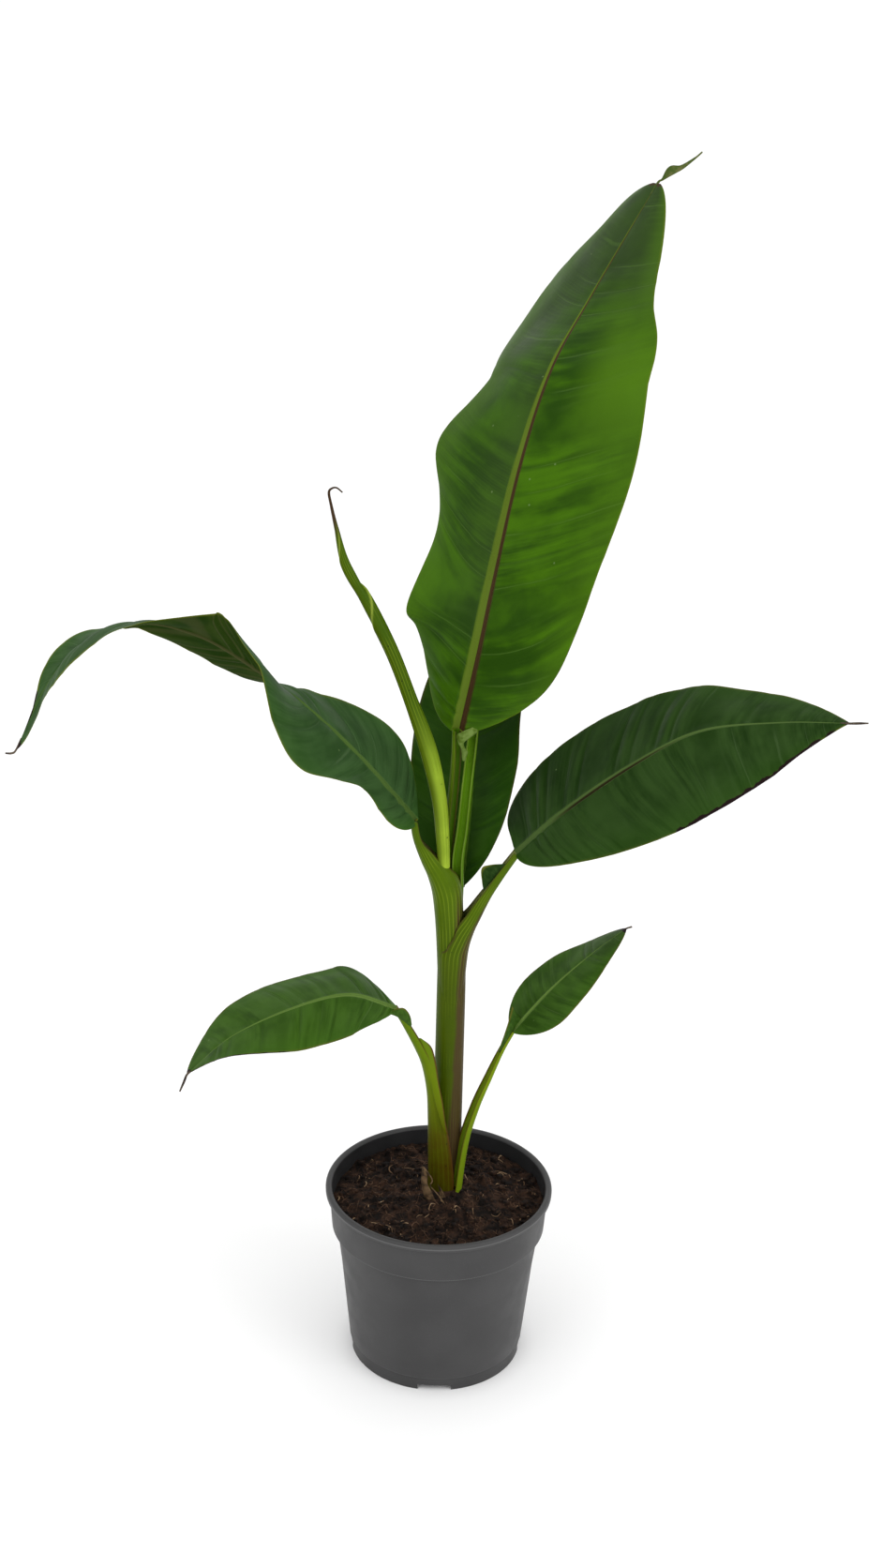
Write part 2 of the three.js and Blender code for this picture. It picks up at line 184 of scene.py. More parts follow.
def added(tree, first, second):
    return sums(tree, "ADD", first, second)


def blended(tree, share, first, second):
    node = tree.nodes.new("ShaderNodeMix")
    node.data_type = "RGBA"
    feed(node.inputs[0], share)
    feed(node.inputs[6], first)
    feed(node.inputs[7], second)
    return node.outputs[2]


def ranged(tree, value, low, high, start=0.0, end=1.0):
    # From start to end as value goes from low to high, eased at both ends.
    node = tree.nodes.new("ShaderNodeMapRange")
    node.interpolation_type = "SMOOTHSTEP"
    for socket, number in zip(node.inputs, (value, low, high, start, end)):
        feed(socket, number)
    return node.outputs[0]


def grain(tree, vector, scale, detail=3.0, rough=0.5):
    node = tree.nodes.new("ShaderNodeTexNoise")
    feed(node.inputs["Vector"], vector)
    node.inputs["Scale"].default_value = scale
    node.inputs["Detail"].default_value = detail
    node.inputs["Roughness"].default_value = rough
    return node.outputs[0]


def specks(tree, vector, scale, size, share):
    # Round specks: near a cell's point, in that share of the cells.
    node = tree.nodes.new("ShaderNodeTexVoronoi")
    feed(node.inputs["Vector"], vector)
    node.inputs["Scale"].default_value = scale
    split = tree.nodes.new("ShaderNodeSeparateColor")
    feed(split.inputs[0], node.outputs["Color"])
    chosen = sums(tree, "LESS_THAN", split.outputs[0], share)
    return times(tree, ranged(tree, node.outputs["Distance"], size * 0.6, size, 1.0, 0.0), chosen)


def marked(tree, name):
    # A mark that the piece carries on its points.
    node = tree.nodes.new("ShaderNodeAttribute")
    node.attribute_name = name
    return node.outputs["Fac"]


def placeOf(tree):
    return tree.nodes.new("ShaderNodeTexCoord").outputs["Object"]


def splitUp(tree, vector):
    node = tree.nodes.new("ShaderNodeSeparateXYZ")
    feed(node.inputs[0], vector)
    return tuple(node.outputs)


def growthOf(tree):
    # The two directions of a leaf's growth map: vein count along it, and share of the width across it.
    node = tree.nodes.new("ShaderNodeUVMap")
    node.uv_map = "growth"
    return splitUp(tree, node.outputs[0])[:2]


def alongVeins(tree, count, across, fine, long, detail=3.0):
    # Noise that is drawn out along the veins: fine counts across them, long counts along them.
    node = tree.nodes.new("ShaderNodeCombineXYZ")
    feed(node.inputs[0], times(tree, count, fine))
    feed(node.inputs[1], times(tree, across, long))
    return grain(tree, node.outputs[0], 1.0, detail)


def roughen(tree, shader, height, distance, strength=0.5):
    node = tree.nodes.new("ShaderNodeBump")
    node.inputs["Strength"].default_value = strength
    node.inputs["Distance"].default_value = distance
    feed(node.inputs["Height"], height)
    feed(shader.inputs["Normal"], node.outputs[0])


# Leaf finish
# Each set also holds a painted shade colour, and on the tall leaf its fresh green also paints a sheen patch.
leafColours = {  # linear red, green, blue
    "old": {
        "dark": (0.0095, 0.029, 0.0035), "light": (0.025, 0.058, 0.011), "vein": (0.07, 0.12, 0.045),
        "under": (0.026, 0.042, 0.008), "underDark": (0.012, 0.03, 0.002),
        "rib": (0.07, 0.12, 0.03), "ribFar": (0.06, 0.105, 0.026), "ribUnder": (0.05, 0.045, 0.016),
        "ribDeep": (0.022, 0.018, 0.006), "rim": (0.12, 0.13, 0.016), "dry": (0.012, 0.006, 0.006),
        "freshAndSheen": (0.024, 0.078, 0.003), "paintedLight": (0.018, 0.04, 0.018), "rough": 0.42, "split": 0.0,
        "shine": 0.03,
    },
    # A lighter copy of the old colours: painted light for the left leaf, which is more brightly lit.
    "arching": {
        "dark": (0.022, 0.057, 0.014), "light": (0.042, 0.094, 0.027), "vein": (0.1, 0.17, 0.07),
        "under": (0.025, 0.048, 0.005), "underDark": (0.01, 0.03, 0.001),
        "rib": (0.08, 0.15, 0.03), "ribFar": (0.07, 0.13, 0.026), "ribUnder": (0.06, 0.066, 0.022),
        "ribDeep": (0.022, 0.018, 0.006), "rim": (0.16, 0.18, 0.016), "dry": (0.012, 0.006, 0.006),
        "freshAndSheen": (0.03, 0.1, 0.006), "paintedLight": (0.03, 0.045, 0.014), "rough": 0.5, "split": 0.0,
        "shine": 0.03,
    },
    "young": {
        "dark": (0.014, 0.049, 0.0003), "light": (0.046, 0.13, 0.0008), "vein": (0.1, 0.2, 0.03),
        "under": (0.05, 0.11, 0.012), "underDark": (0.03, 0.07, 0.006),
        "rib": (0.095, 0.15, 0.012), "ribFar": (0.05, 0.026, 0.01), "ribUnder": (0.12, 0.17, 0.03),
        "ribDeep": (0.03, 0.018, 0.006), "rim": (0.12, 0.16, 0.008), "dry": (0.045, 0.028, 0.012),
        "freshAndSheen": (0.066, 0.16, 0.004), "paintedLight": (0.024, 0.046, 0.011), "rough": 0.42, "split": 0.008,
        "shine": 0.05,
    },
    "low": {
        "dark": (0.017, 0.05, 0.002), "light": (0.04, 0.098, 0.009), "vein": (0.12, 0.2, 0.06),
        "under": (0.05, 0.085, 0.02), "underDark": (0.03, 0.06, 0.01),
        "rib": (0.11, 0.19, 0.035), "ribFar": (0.09, 0.16, 0.03), "ribUnder": (0.12, 0.15, 0.04),
        "ribDeep": (0.09, 0.15, 0.03), "rim": (0.11, 0.1, 0.012), "dry": (0.012, 0.006, 0.008),
        "freshAndSheen": (0.04, 0.125, 0.003), "paintedLight": (0.03, 0.06, 0.02), "rough": 0.42, "split": 0.0,
        "shine": 0.07,
    },
    "shaded": {
        "dark": (0.009, 0.037, 0.0005), "light": (0.019, 0.06, 0.002), "vein": (0.04, 0.09, 0.02),
        "under": (0.035, 0.06, 0.015), "underDark": (0.02, 0.045, 0.008),
        "rib": (0.1, 0.19, 0.015), "ribFar": (0.09, 0.18, 0.015), "ribUnder": (0.1, 0.14, 0.03),
        "ribDeep": (0.05, 0.1, 0.01), "rim": (0.06, 0.05, 0.012), "dry": (0.02, 0.01, 0.008),
        "freshAndSheen": (0.018, 0.06, 0.002), "paintedLight": (0.012, 0.04, 0.005), "rough": 0.45, "split": 0.0,
        "shine": 0.06,
    },
}


def leafFinish(name, colour, fineVeins):
    # Upper and under faces differ. The growth map counts main veins along the leaf, so that whole numbers are
    # main veins and fine ones stand between them; rib, deep, rim, dry, fresh and painted shade are marks on
    # the points, and on the tall leaf the fresh mark also carries a painted sheen patch.
    material, tree, shader = startFinish(name, Roughness=colour["rough"], Specular_IOR_Level=colour["shine"])
    place = placeOf(tree)
    count, across = growthOf(tree)
    wander = times(tree, grain(tree, place, 40, 2), 7.0)
    fine = sums(tree, "SINE", added(tree, times(tree, count, 2 * math.pi * fineVeins), wander))
    shown = ranged(tree, grain(tree, place, 24, 3), 0.4, 0.65)
    fineUp = times(tree, ranged(tree, fine, 0.1, 1), shown)
    shifted = added(tree, count, times(tree, grain(tree, place, 26, 3), 0.16))
    nearMain = sums(tree, "PINGPONG", shifted, 0.5)
    somewhere = ranged(tree, grain(tree, place, 15, 2), 0.42, 0.6)
    mainLine = times(tree, ranged(tree, nearMain, 0.008, 0.03, 1.0, 0.0), somewhere)
    mainShade = ranged(tree, nearMain, 0.0, 0.16, 1.0, 0.0)
    broad = times(tree, grain(tree, place, 13, 4, 0.6), 0.5)
    streaks = times(tree, alongVeins(tree, count, across, 2.6, 1.3, 5.0), 0.5)
    clouds = ranged(tree, added(tree, broad, streaks), 0.38, 0.62)
    face = blended(tree, clouds, colour["dark"], colour["light"])
    face = blended(tree, times(tree, mainShade, 0.35), face, colour["dark"])
    # Painted shade: the dull top of the tall leaf and its half by the rib.
    face = blended(tree, times(tree, marked(tree, "paintedLight"), 0.8), face, colour["paintedLight"])
    face = blended(tree, times(tree, fineUp, 0.06), face, colour["vein"])
    face = blended(tree, times(tree, mainLine, 0.24), face, colour["vein"])
    # Fresh green at the margins and base, and a painted sheen patch on the tall leaf.
    face = blended(tree, times(tree, marked(tree, "freshAndSheen"), 0.85), face, colour["freshAndSheen"])
    dots = specks(tree, place, 120, 0.11, 0.05)
    face = blended(tree, times(tree, dots, 0.5), face, (0.16, 0.24, 0.09))
    back = blended(tree, clouds, colour["underDark"], colour["under"])
    streak = ranged(tree, sums(tree, "SINE", times(tree, count, 4 * math.pi)), 0.3, 1.0)
    back = blended(tree, times(tree, streak, 0.4), back, colour["ribUnder"])
    upper = marked(tree, "upper")
    skin = blended(tree, upper, back, face)
    farSide = ranged(tree, across, colour["split"] - 0.004, colour["split"] + 0.004, 1.0, 0.0)
    ribFace = blended(tree, farSide, colour["rib"], colour["ribFar"])
    ribFace = blended(tree, marked(tree, "deep"), ribFace, colour["ribDeep"])
    ribSkin = blended(tree, upper, colour["ribUnder"], ribFace)
    skin = blended(tree, marked(tree, "rib"), skin, ribSkin)
    skin = blended(tree, times(tree, marked(tree, "rim"), 0.75), skin, colour["rim"])
    ragged = added(tree, marked(tree, "dry"), ranged(tree, grain(tree, place, 150, 3), 0.3, 0.7, -0.3, 0.3))
    skin = blended(tree, ranged(tree, ragged, 0.35, 0.62), skin, colour["dry"])
    feed(shader.inputs["Base Color"], skin)
    sheen = ranged(tree, grain(tree, place, 22, 3), 0.3, 0.7, colour["rough"] - 0.08, colour["rough"] + 0.1)
    sheen = added(tree, sheen, times(tree, sums(tree, "SUBTRACT", 1.0, upper), 0.45))
    feed(shader.inputs["Roughness"], sheen)
    height = times(tree, times(tree, fine, shown), 0.04)
    height = added(tree, height, times(tree, mainLine, -0.6))
    height = added(tree, height, times(tree, streaks, 2.2))
    height = added(tree, height, times(tree, grain(tree, place, 260, 3), 0.5))
    roughen(tree, shader, height, 0.35 * mm, 0.6)
    return material


oldLeaf = leafFinish("dark_green_blade", leafColours["old"], 7)
# A lighter copy of the dark green blade: painted light for the left leaf.
archingLeaf = leafFinish("arching_blade", leafColours["arching"], 7)
youngLeaf = leafFinish("bright_green_blade", leafColours["young"], 9)
lowLeaf = leafFinish("low_leaf_blade", leafColours["low"], 6)
shadedLeaf = leafFinish("shaded_blade", leafColours["shaded"], 7)

# Blades
# Millimetres and degrees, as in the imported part: the rib's points, its roll, and the two halves of the blade.
rightLeaf = {
    "heading": 0,
    "rib": [[48, -8, 418], [78, -22, 455], [123, -39, 499], [166, -51, 530], [217, -62, 542],
            [262, -78, 549]],
    "roll": [(0, 7), (0.5, 11), (1, 11)],
    "plus": {"width": 61, "widest": 0.34, "base": 0.4, "tip": 0.9, "lobe": 13, "fold": [14, 7, 11],
             "curl": [4, -18]},
    "minus": {"width": 63, "widest": 0.6, "base": 0.6, "tip": 1.25, "lobe": 0, "fold": [-9, -18, -14],
              "curl": [-14, -20]},
    "thread": [[267, -80, 550, 0.9], [273, -82, 551, 0.5]],
    "veins": 14, "pleat": 2.3, "groove": (2.6, 1.5), "ridge": (3.2, 2.8), "deep": (0.12, 0.62),
    "tipFrom": 0.99, "dryRim": (-1, 0.5, 0.95, 3.4), "seed": 3,
}
tallLeaf = {
    "heading": 35,
    "rib": [[5, -2, 505], [17, 0, 570], [27, 22, 616], [43, 47, 686], [63, 79, 742], [90, 118, 783],
            [136, 152, 858]],
    "roll": [(0, 8), (0.5, 13), (1, -7)],
    "plus": {"width": 81, "widest": 0.6, "base": 0.4, "tip": 0.5, "lobe": 2, "fold": [2, -2, -10, 8],
             "curl": [-5, -25], "wave": 2, "waves": 3.4, "phase": -0.42, "ripple": 9},
    "minus": {"width": 88, "widest": 0.37, "base": 0.76, "tip": 0.65, "lobe": 0, "fold": [-24, 2, 0, 6],
              "curl": [-10, -11], "wave": -6, "waves": 2.17, "phase": 0.19, "ripple": -1},
    "thread": [[139, 153, 860, 1], [145, 154, 866, 3.4], [152, 156, 868, 1.8], [161, 158, 874, 0.8],
               [166, 160, 878, 0.6]],
    "veins": 15, "pleat": 1.7, "groove": (4.8, 2.8), "ridge": (4.8, 3.4), "deep": (0, 0), "tipFrom": 0.995,
    # Painted shade from 0.62 of the length and near the rib, and a painted sheen patch about 0.62 on the minus
    # half.
    "dryRim": (-1, 0.1, 0.2, 0.7), "seed": 5, "paintedLight": (0.62, 0.75), "freshRim": 0.5, "paintedSheen": (0.62, 0.9),
}
leftLeaf = {
    "heading": 180,
    "rib": [[-21, -4, 438], [-62, -10, 490], [-97, -24, 531], [-135, -24, 561], [-170, -21, 580],
            [-207, -33, 592], [-241, -35, 579], [-269, -32, 550], [-294, -38, 500]],
    "roll": [(0, -23), (0.28, 9), (0.44, 35), (0.54, 39), (0.68, 26), (1, -51)],
    "plus": {"width": 50, "widest": 0.37, "base": 0.54, "tip": 0.88, "lobe": 1, "fold": [13, -13, -6, 10, 1],
             "curl": [-17, -11], "wave": 14, "waves": 2.62, "phase": -0.15, "ripple": -2},
    "minus": {"width": 48, "widest": 0.28, "base": 0.73, "tip": 1.26, "lobe": 0, "fold": [24, 10, 0, 10, 10],
              "curl": [-2, -4], "wave": 3.5, "waves": 3.1, "phase": -0.19, "ripple": 9},
    "thread": [[-297, -38, 498, 0.8], [-301, -38, 498, 0.6]],
    "veins": 17, "pleat": 3.0, "groove": (2.4, 1.3), "ridge": (3.0, 2.6), "deep": (0, 0), "tipFrom": 0.985,
    "dryRim": (-1, 0.9, 1.0, 1.2), "seed": 11,
}
backLeaf = {
    "heading": 80,
    "rib": [[10, 14, 379], [15, 26, 438], [18, 46, 488], [21, 76, 530], [27, 112, 564]],
    "roll": [(0, 0), (1, 0)],
    "plus": {"width": 44, "widest": 0.45, "base": 0.5, "tip": 0.85, "lobe": 0, "fold": [12, 8, 10],
             "curl": [-8, -8]},
    "minus": {"width": 42, "widest": 0.5, "base": 0.85, "tip": 0.85, "lobe": 0, "fold": [30, 34, 20],
              "curl": [0, -8]},
    "thread": [[28, 117, 566, 0.8]],
    "veins": 10, "pleat": 1.0, "groove": (3.4, 1.4), "ridge": (3.6, 2.6), "deep": (0, 0), "tipFrom": 0.985,
    "dryRim": (1, 0.97, 1.0, 1.0), "seed": 13,
}
lowLeftLeaf = {
    "heading": 180,
    "rib": [[-33, -8, 293], [-68, -21, 310], [-109, -30, 302], [-151, -45, 286], [-181, -55, 261]],
    "roll": [(0, -27), (0.5, -16), (1, -9)],
    "plus": {"width": 38, "widest": 0.47, "base": 0.8, "tip": 1.3, "lobe": 0, "fold": [-15, 4],
             "curl": [-15, -5]},
    "minus": {"width": 44, "widest": 0.28, "base": 0.8, "tip": 0.7, "lobe": 0, "fold": [-20, 10],
              "curl": [-17, -2]},
    "thread": [[-183, -56, 256, 0.9], [-186, -58, 249, 0.6]],
    "veins": 9, "pleat": 1.5, "groove": (1.6, 0.7), "ridge": (2.2, 1.8), "deep": (0, 0), "tipFrom": 0.985,
    "dryRim": (1, 0.55, 0.98, 0.8), "seed": 17,
}
lowRightLeaf = {
    "heading": 20,
    "rib": [[51, 7, 267], [79, 15, 299], [108, 24, 324], [133, 33, 341]],
    "roll": [(0, 16), (1, -6)],
    "plus": {"width": 27, "widest": 0.36, "base": 0.58, "tip": 0.64, "lobe": 0, "fold": [3, -1],
             "curl": [-6, -9]},
    "minus": {"width": 28, "widest": 0.38, "base": 0.76, "tip": 0.8, "lobe": 0, "fold": [-4, -3],
              "curl": [-10, -10]},
    "thread": [[137, 34, 342, 0.7]],
    "veins": 7, "pleat": 0.9, "groove": (1.3, 0.5), "ridge": (1.8, 1.3), "deep": (0, 0), "tipFrom": 0.975,
    "dryRim": (1, 0.93, 1.0, 2.0), "seed": 19,
}
bladeMake = {
    "rows": 330, "across": 44, "thick": 0.5, "rimThick": 0.16, "thinOver": 3.0, "sweep": 0.28, "bend": 1.4,
    "lobeAt": 0.07, "drift": 0.9, "driftSize": 55, "driftWide": 60, "uneven": ((0.35, 17), (0.2, 41)),
}


def ribFrame(leaf, s):
    # Point, side and up vectors on the rib at shares s of its length. The side is the level vector across the
    # heading, squared to the rib and rolled about it; past the ends it runs straight on.
    fineT = np.linspace(0, 1, 1601)
    fine = splineAt(leaf["rib"], fineT)
    walked = np.concatenate([[0], np.cumsum(np.linalg.norm(np.diff(fine, axis=0), axis=1))])
    length = walked[-1]
    held = np.clip(s, 0, 1)
    t = np.interp(held * length, walked, fineT)
    step = 1e-3
    tangent = unit(splineAt(leaf["rib"], t + step) - splineAt(leaf["rib"], t - step))
    turn = math.radians(leaf["heading"])
    level = np.array([-math.sin(turn), math.cos(turn), 0.0])
    side = unit(level - tangent * (tangent @ level)[..., None])
    up = np.cross(tangent, side)
    roll = np.radians(eased(leaf["roll"], held))[..., None]
    sideNow = side * np.cos(roll) + up * np.sin(roll)
    upNow = up * np.cos(roll) - side * np.sin(roll)
    point = splineAt(leaf["rib"], t) + tangent * ((s - held) * length)[..., None]
    return point, sideNow, upNow, length


def halfBlade(leaf, half, sign, u, out):
    # One half. Its width is width * (1 - far^2)^power about the widest place. A point out across it sits on
    # the rib at u^1.28, swept forward to the outline, and stands off by that width at the fold and curl
    # angles.
    length = ribFrame(leaf, np.zeros(1))[3]
    edge = u - half["lobe"] / length * (u / bladeMake["lobeAt"]) * np.exp(1 - u / bladeMake["lobeAt"])
    root = u ** (1 + bladeMake["sweep"])
    s = root + (edge - root) * out ** bladeMake["bend"]
    point, side, up, length = ribFrame(leaf, s)
    before = u < half["widest"]
    far = np.where(before, 1 - u / half["widest"], (u - half["widest"]) / (1 - half["widest"]))
    power = np.where(before, half["base"], half["tip"])
    width = half["width"] * np.clip(1 - far * far, 0, 1) ** power
    held = np.clip(s, 0, 1)
    angle = np.radians(eased(evenly(half["fold"]), held) + eased(evenly(half["curl"]), held) * out / 2)
    swell = np.sin(2 * math.pi * (half.get("waves", 0) * u + half.get("phase", 0)))
    swell = swell * np.sqrt(np.sin(math.pi * np.clip(u, 0, 1)))
    reach = (width + half.get("ripple", 0) * swell * out) * out
    lift = reach * np.sin(angle) + half.get("wave", 0) * out**2 * swell
    return point + side * (sign * reach * np.cos(angle))[..., None] + up * lift[..., None], reach, s


def bladePiece(name, leaf, material, slot, nodes):
    # Both halves as one closed shell: a middle sheet with pleats between the main veins, a channel over the
    # rib, a rounded ridge under it and a wall that thins to the rim.
    make = bladeMake
    t = np.linspace(0, 1, make["rows"])
    u = 0.002 + 0.996 * (0.5 * t + 0.25 * (1 - np.cos(math.pi * t)))
    c = np.linspace(0, 1, make["across"])
    out = np.concatenate([0.985 * c**1.7, [0.993, 1.0]])
    uGrid, outGrid = np.meshgrid(u, out, indexing="ij")
    plus, reachPlus, sPlus = halfBlade(leaf, leaf["plus"], 1, uGrid, outGrid)
    minus, reachMinus, sMinus = halfBlade(leaf, leaf["minus"], -1, uGrid, outGrid)

    def joined(left, right):
        return np.concatenate([left[:, :0:-1], right], axis=1)

    sheet = joined(minus, plus)
    reach = joined(reachMinus, reachPlus)
    s = np.clip(joined(sMinus, sPlus), 0, 1)
    v = joined(-outGrid, outGrid)
    uAll = joined(uGrid, uGrid)
    away = np.abs(v)
    length = ribFrame(leaf, np.zeros(1))[3]
    margin = np.maximum(reach[:, :1] * (v < 0) + reach[:, -1:] * (v >= 0) - reach, 0)

    # main veins at whole numbers of count, unevenly spaced and different on the two halves
    (large, slow), (small, quick) = make["uneven"]
    uneven = large * np.sin(uAll * slow + leaf["seed"]) + small * np.sin(uAll * quick + 2 * leaf["seed"])
    count = uAll * leaf["veins"] + uneven + np.where(v < 0, 0.4, 0.0)
    dice = np.random.default_rng(leaf["seed"])
    strength = dice.uniform(0.25, 1.0, 2 * leaf["veins"] + 8)
    amount = np.interp(count, np.arange(len(strength)) + 0.5, strength)
    pleat = np.abs(np.sin(math.pi * count)) ** 0.75
    envelope = smoothStep(0.0, 0.16, away) * (1 - 0.75 * smoothStep(0.45, 1.0, away))
    envelope = envelope * smoothStep(0.0, 0.08, uAll) * (1 - smoothStep(0.8, 1.0, uAll))
    relief = leaf["pleat"] * amount * (pleat - 0.6) * envelope
    drift = patchy(uAll * length, v * make["driftWide"], make["driftSize"], leaf["seed"])
    relief = relief + make["drift"] * drift * away**1.2 * np.sin(math.pi * uAll)
    normal = unit(np.cross(np.gradient(sheet, axis=0), np.gradient(sheet, axis=1)))
    sheet = sheet + normal * relief[..., None]
    normal = unit(np.cross(np.gradient(sheet, axis=0), np.gradient(sheet, axis=1)))

    fade = 1 - 0.84 * smoothStep(0.12, 0.95, s) - 0.1 * smoothStep(0.9, 1.0, s)
    grooveHalf, grooveDeep = leaf["groove"]
    ridgeHalf, ridgeDeep = leaf["ridge"]
    inGroove = reach / np.maximum(grooveHalf * fade, 0.2)
    inRidge = reach / np.maximum(ridgeHalf * fade, 0.2)
    channel = np.clip(1 - inGroove**2, 0, 1) ** 0.8 * grooveDeep * fade**1.3
    lips = 0.35 * fade * np.exp(-(((inGroove - 1.1) / 0.3) ** 2))
    ridge = np.sqrt(np.clip(1 - inRidge**2, 0, 1)) * ridgeDeep * fade
    wall = make["rimThick"] + (make["thick"] - make["rimThick"]) * smoothStep(0.0, make["thinOver"], margin)
    upper = sheet + normal * (wall / 2 - channel + lips)[..., None]
    lower = sheet - normal * (wall / 2 + np.maximum(ridge, channel * 1.15))[..., None]
    rings = np.concatenate([upper, lower[:, ::-1]], axis=1) * mm

    def both(values):
        return np.concatenate([values, values[:, ::-1]], axis=1)

    sign, start, end, wide = leaf["dryRim"]
    patch = smoothStep(start - 0.06, start + 0.06, uAll) * (1 - smoothStep(end - 0.04, end + 0.04, uAll))
    dry = patch * (1 - smoothStep(0.15 * wide, wide, margin)) * (v * sign > 0)
    dry = np.maximum(dry, smoothStep(leaf["tipFrom"] - 0.01, leaf["tipFrom"] + 0.01, uAll))
    deepFrom, deepTo = leaf["deep"]
    deep = 0 * s
    if deepTo:
        deep = smoothStep(deepFrom, deepFrom + 0.12, s) * (1 - smoothStep(deepTo - 0.2, deepTo, s))
    deep = deep * (1 - smoothStep(0.4, 0.7, inGroove))
    # Fresh green near the margin and at the base.
    freshAndSheen = smoothStep(0.55, 1.0, away) * leaf.get("freshRim", 0.25) + 0.5 * (1 - smoothStep(0.0, 0.1, uAll))
    # Painted sheen: a lighter patch about the given share of the length on the minus half, added to the fresh
    # mark.
    sheenAt, sheenShare = leaf.get("paintedSheen", (0, 0))
    paintedSheen = sheenShare * (v < 0) * np.exp(-(((s - sheenAt) / 0.13) ** 2)) * smoothStep(0.2, 0.7, away)
    freshAndSheen = np.maximum(freshAndSheen, paintedSheen)
    # Painted shade: over the blade from the given share of the length, and near the rib on the plus half.
    shadeFrom, shadeNearRib = leaf.get("paintedLight", (2, 0))
    paintedLight = smoothStep(shadeFrom, shadeFrom + 0.25, s + 0.25 * (v > 0) * away)
    paintedLight = np.maximum(paintedLight, shadeNearRib * (v > 0) * np.exp(-((away / 0.45) ** 2)) * smoothStep(0.1, 0.35, s))
    ribAbove = 1 - smoothStep(0.85, 1.25, inGroove)
    ribBelow = 1 - smoothStep(0.8, 1.15, inRidge)
    marks = {
        "upper": np.concatenate([np.ones_like(v), np.zeros_like(v)], axis=1),
        "rib": np.concatenate([ribAbove, ribBelow[:, ::-1]], axis=1),
        "rim": both(1 - smoothStep(0.15, 1.0, margin)),
        "dry": both(dry),
        "freshAndSheen": both(freshAndSheen),
        "deep": both(deep),
        "paintedLight": both(paintedLight),
    }
    uv = np.stack([both(count), both(v)], -1)
    ringPiece(name, rings, material, slot, nodes, uv, **marks)


bladePiece("right_blade_skin", rightLeaf, oldLeaf, "leaf", ["right_blade"])
bladePiece("tall_blade_skin", tallLeaf, youngLeaf, "young_leaf", ["tall_blade"])
bladePiece("left_blade_skin", leftLeaf, archingLeaf, "leaf", ["left_blade_inner", "left_blade_outer"])
bladePiece("back_blade_skin", backLeaf, shadedLeaf, "leaf", ["back_blade"])
bladePiece("low_left_blade_skin", lowLeftLeaf, lowLeaf, "leaf", ["low_left_blade"])
bladePiece("low_right_blade_skin", lowRightLeaf, lowLeaf, "leaf", ["low_right_blade"])


# Round stems
def alongPath(stations, rows, facing):
    # Points and half sizes along a smooth path, with two vectors square to it, one of them towards facing.
    t = np.linspace(0, 1, rows)
    values = splineAt(stations, t)
    centre = values[:, :3]
    tangent = unit(np.gradient(centre, axis=0))
    toward = eased(facing, t)
    toward = unit(toward - tangent * np.sum(tangent * toward, axis=-1, keepdims=True))
    beside = np.cross(tangent, toward)
    return t, centre, toward, beside, values[:, 3], values[:, 4]


towardFront = ((0, (0, -1, 0)), (1, (0, -1, 0)))


def roundPiece(name, stations, rows, columns, material, slot, nodes=(), facing=towardFront, shape=None):
    # Rings round a path: point = centre + wide * sin(a) * beside + deep * cos(a) * toward, times shape(t, a),
    # which also says where a free edge lies.
    t, centre, toward, beside, wide, deep = alongPath(stations, rows, facing)
    a = np.linspace(0, 2 * math.pi, columns, endpoint=False)
    tGrid, aGrid = np.meshgrid(t, a, indexing="ij")
    scale, edge = (np.ones_like(tGrid), np.zeros_like(tGrid)) if shape is None else shape(tGrid, aGrid)
    swing = beside[:, None] * (wide[:, None] * np.sin(aGrid) * scale)[..., None]
    swing = swing + toward[:, None] * (deep[:, None] * np.cos(aGrid) * scale)[..., None]
    rings = (centre[:, None] + swing) * mm
    direction = unit(swing)
    marks = {"rightward": direction[..., 0], "frontward": -direction[..., 1], "inside": np.zeros_like(tGrid),
             "lip": edge}
    ringPiece(name, rings, material, slot, nodes, None, **marks)


sheathMake = {"rows": 220, "columns": 72, "lip": 0.03}


def sheathPiece(name, part, material, slot, nodes=()):
    # A stalk that is open on one side: an arc from gap round to 2 pi - gap about the facing side, with an
    # inner arc nearer the middle by the share wall. A thin sheath low down turns into a channelled stalk.
    rows, columns = sheathMake["rows"], sheathMake["columns"]
    t, centre, toward, beside, wide, deep = alongPath(part["stations"], rows, part["facing"])
    gap = np.radians(eased(part["gap"], t))[:, None]
    wall = eased(part["wall"], t)[:, None]
    k = np.linspace(0, 1, columns)[None]
    a = gap + (2 * math.pi - 2 * gap) * k
    thin = wall * (0.35 + 0.65 * np.sin(math.pi * k) ** 0.5)

    def arc(share):
        swing = beside[:, None] * (wide[:, None] * np.sin(a) * share)[..., None]
        return swing + toward[:, None] * (deep[:, None] * np.cos(a) * share)[..., None]

    outer = arc(np.ones_like(a))
    inner = arc(1 - thin)
    rings = np.concatenate([centre[:, None] + outer, (centre[:, None] + inner)[:, ::-1]], axis=1) * mm
    lip = np.broadcast_to(np.exp(-(np.minimum(k, 1 - k) / sheathMake["lip"]) ** 2), a.shape)
    direction = unit(outer)

    def both(values, back=None):
        return np.concatenate([values, (values if back is None else back)[:, ::-1]], axis=1)

    marks = {"rightward": both(direction[..., 0], -direction[..., 0]),
             "frontward": both(-direction[..., 1]), "inside": both(np.zeros_like(a), np.ones_like(a)),
             "lip": both(lip)}
    ringPiece(name, rings, material, slot, nodes, None, **marks)


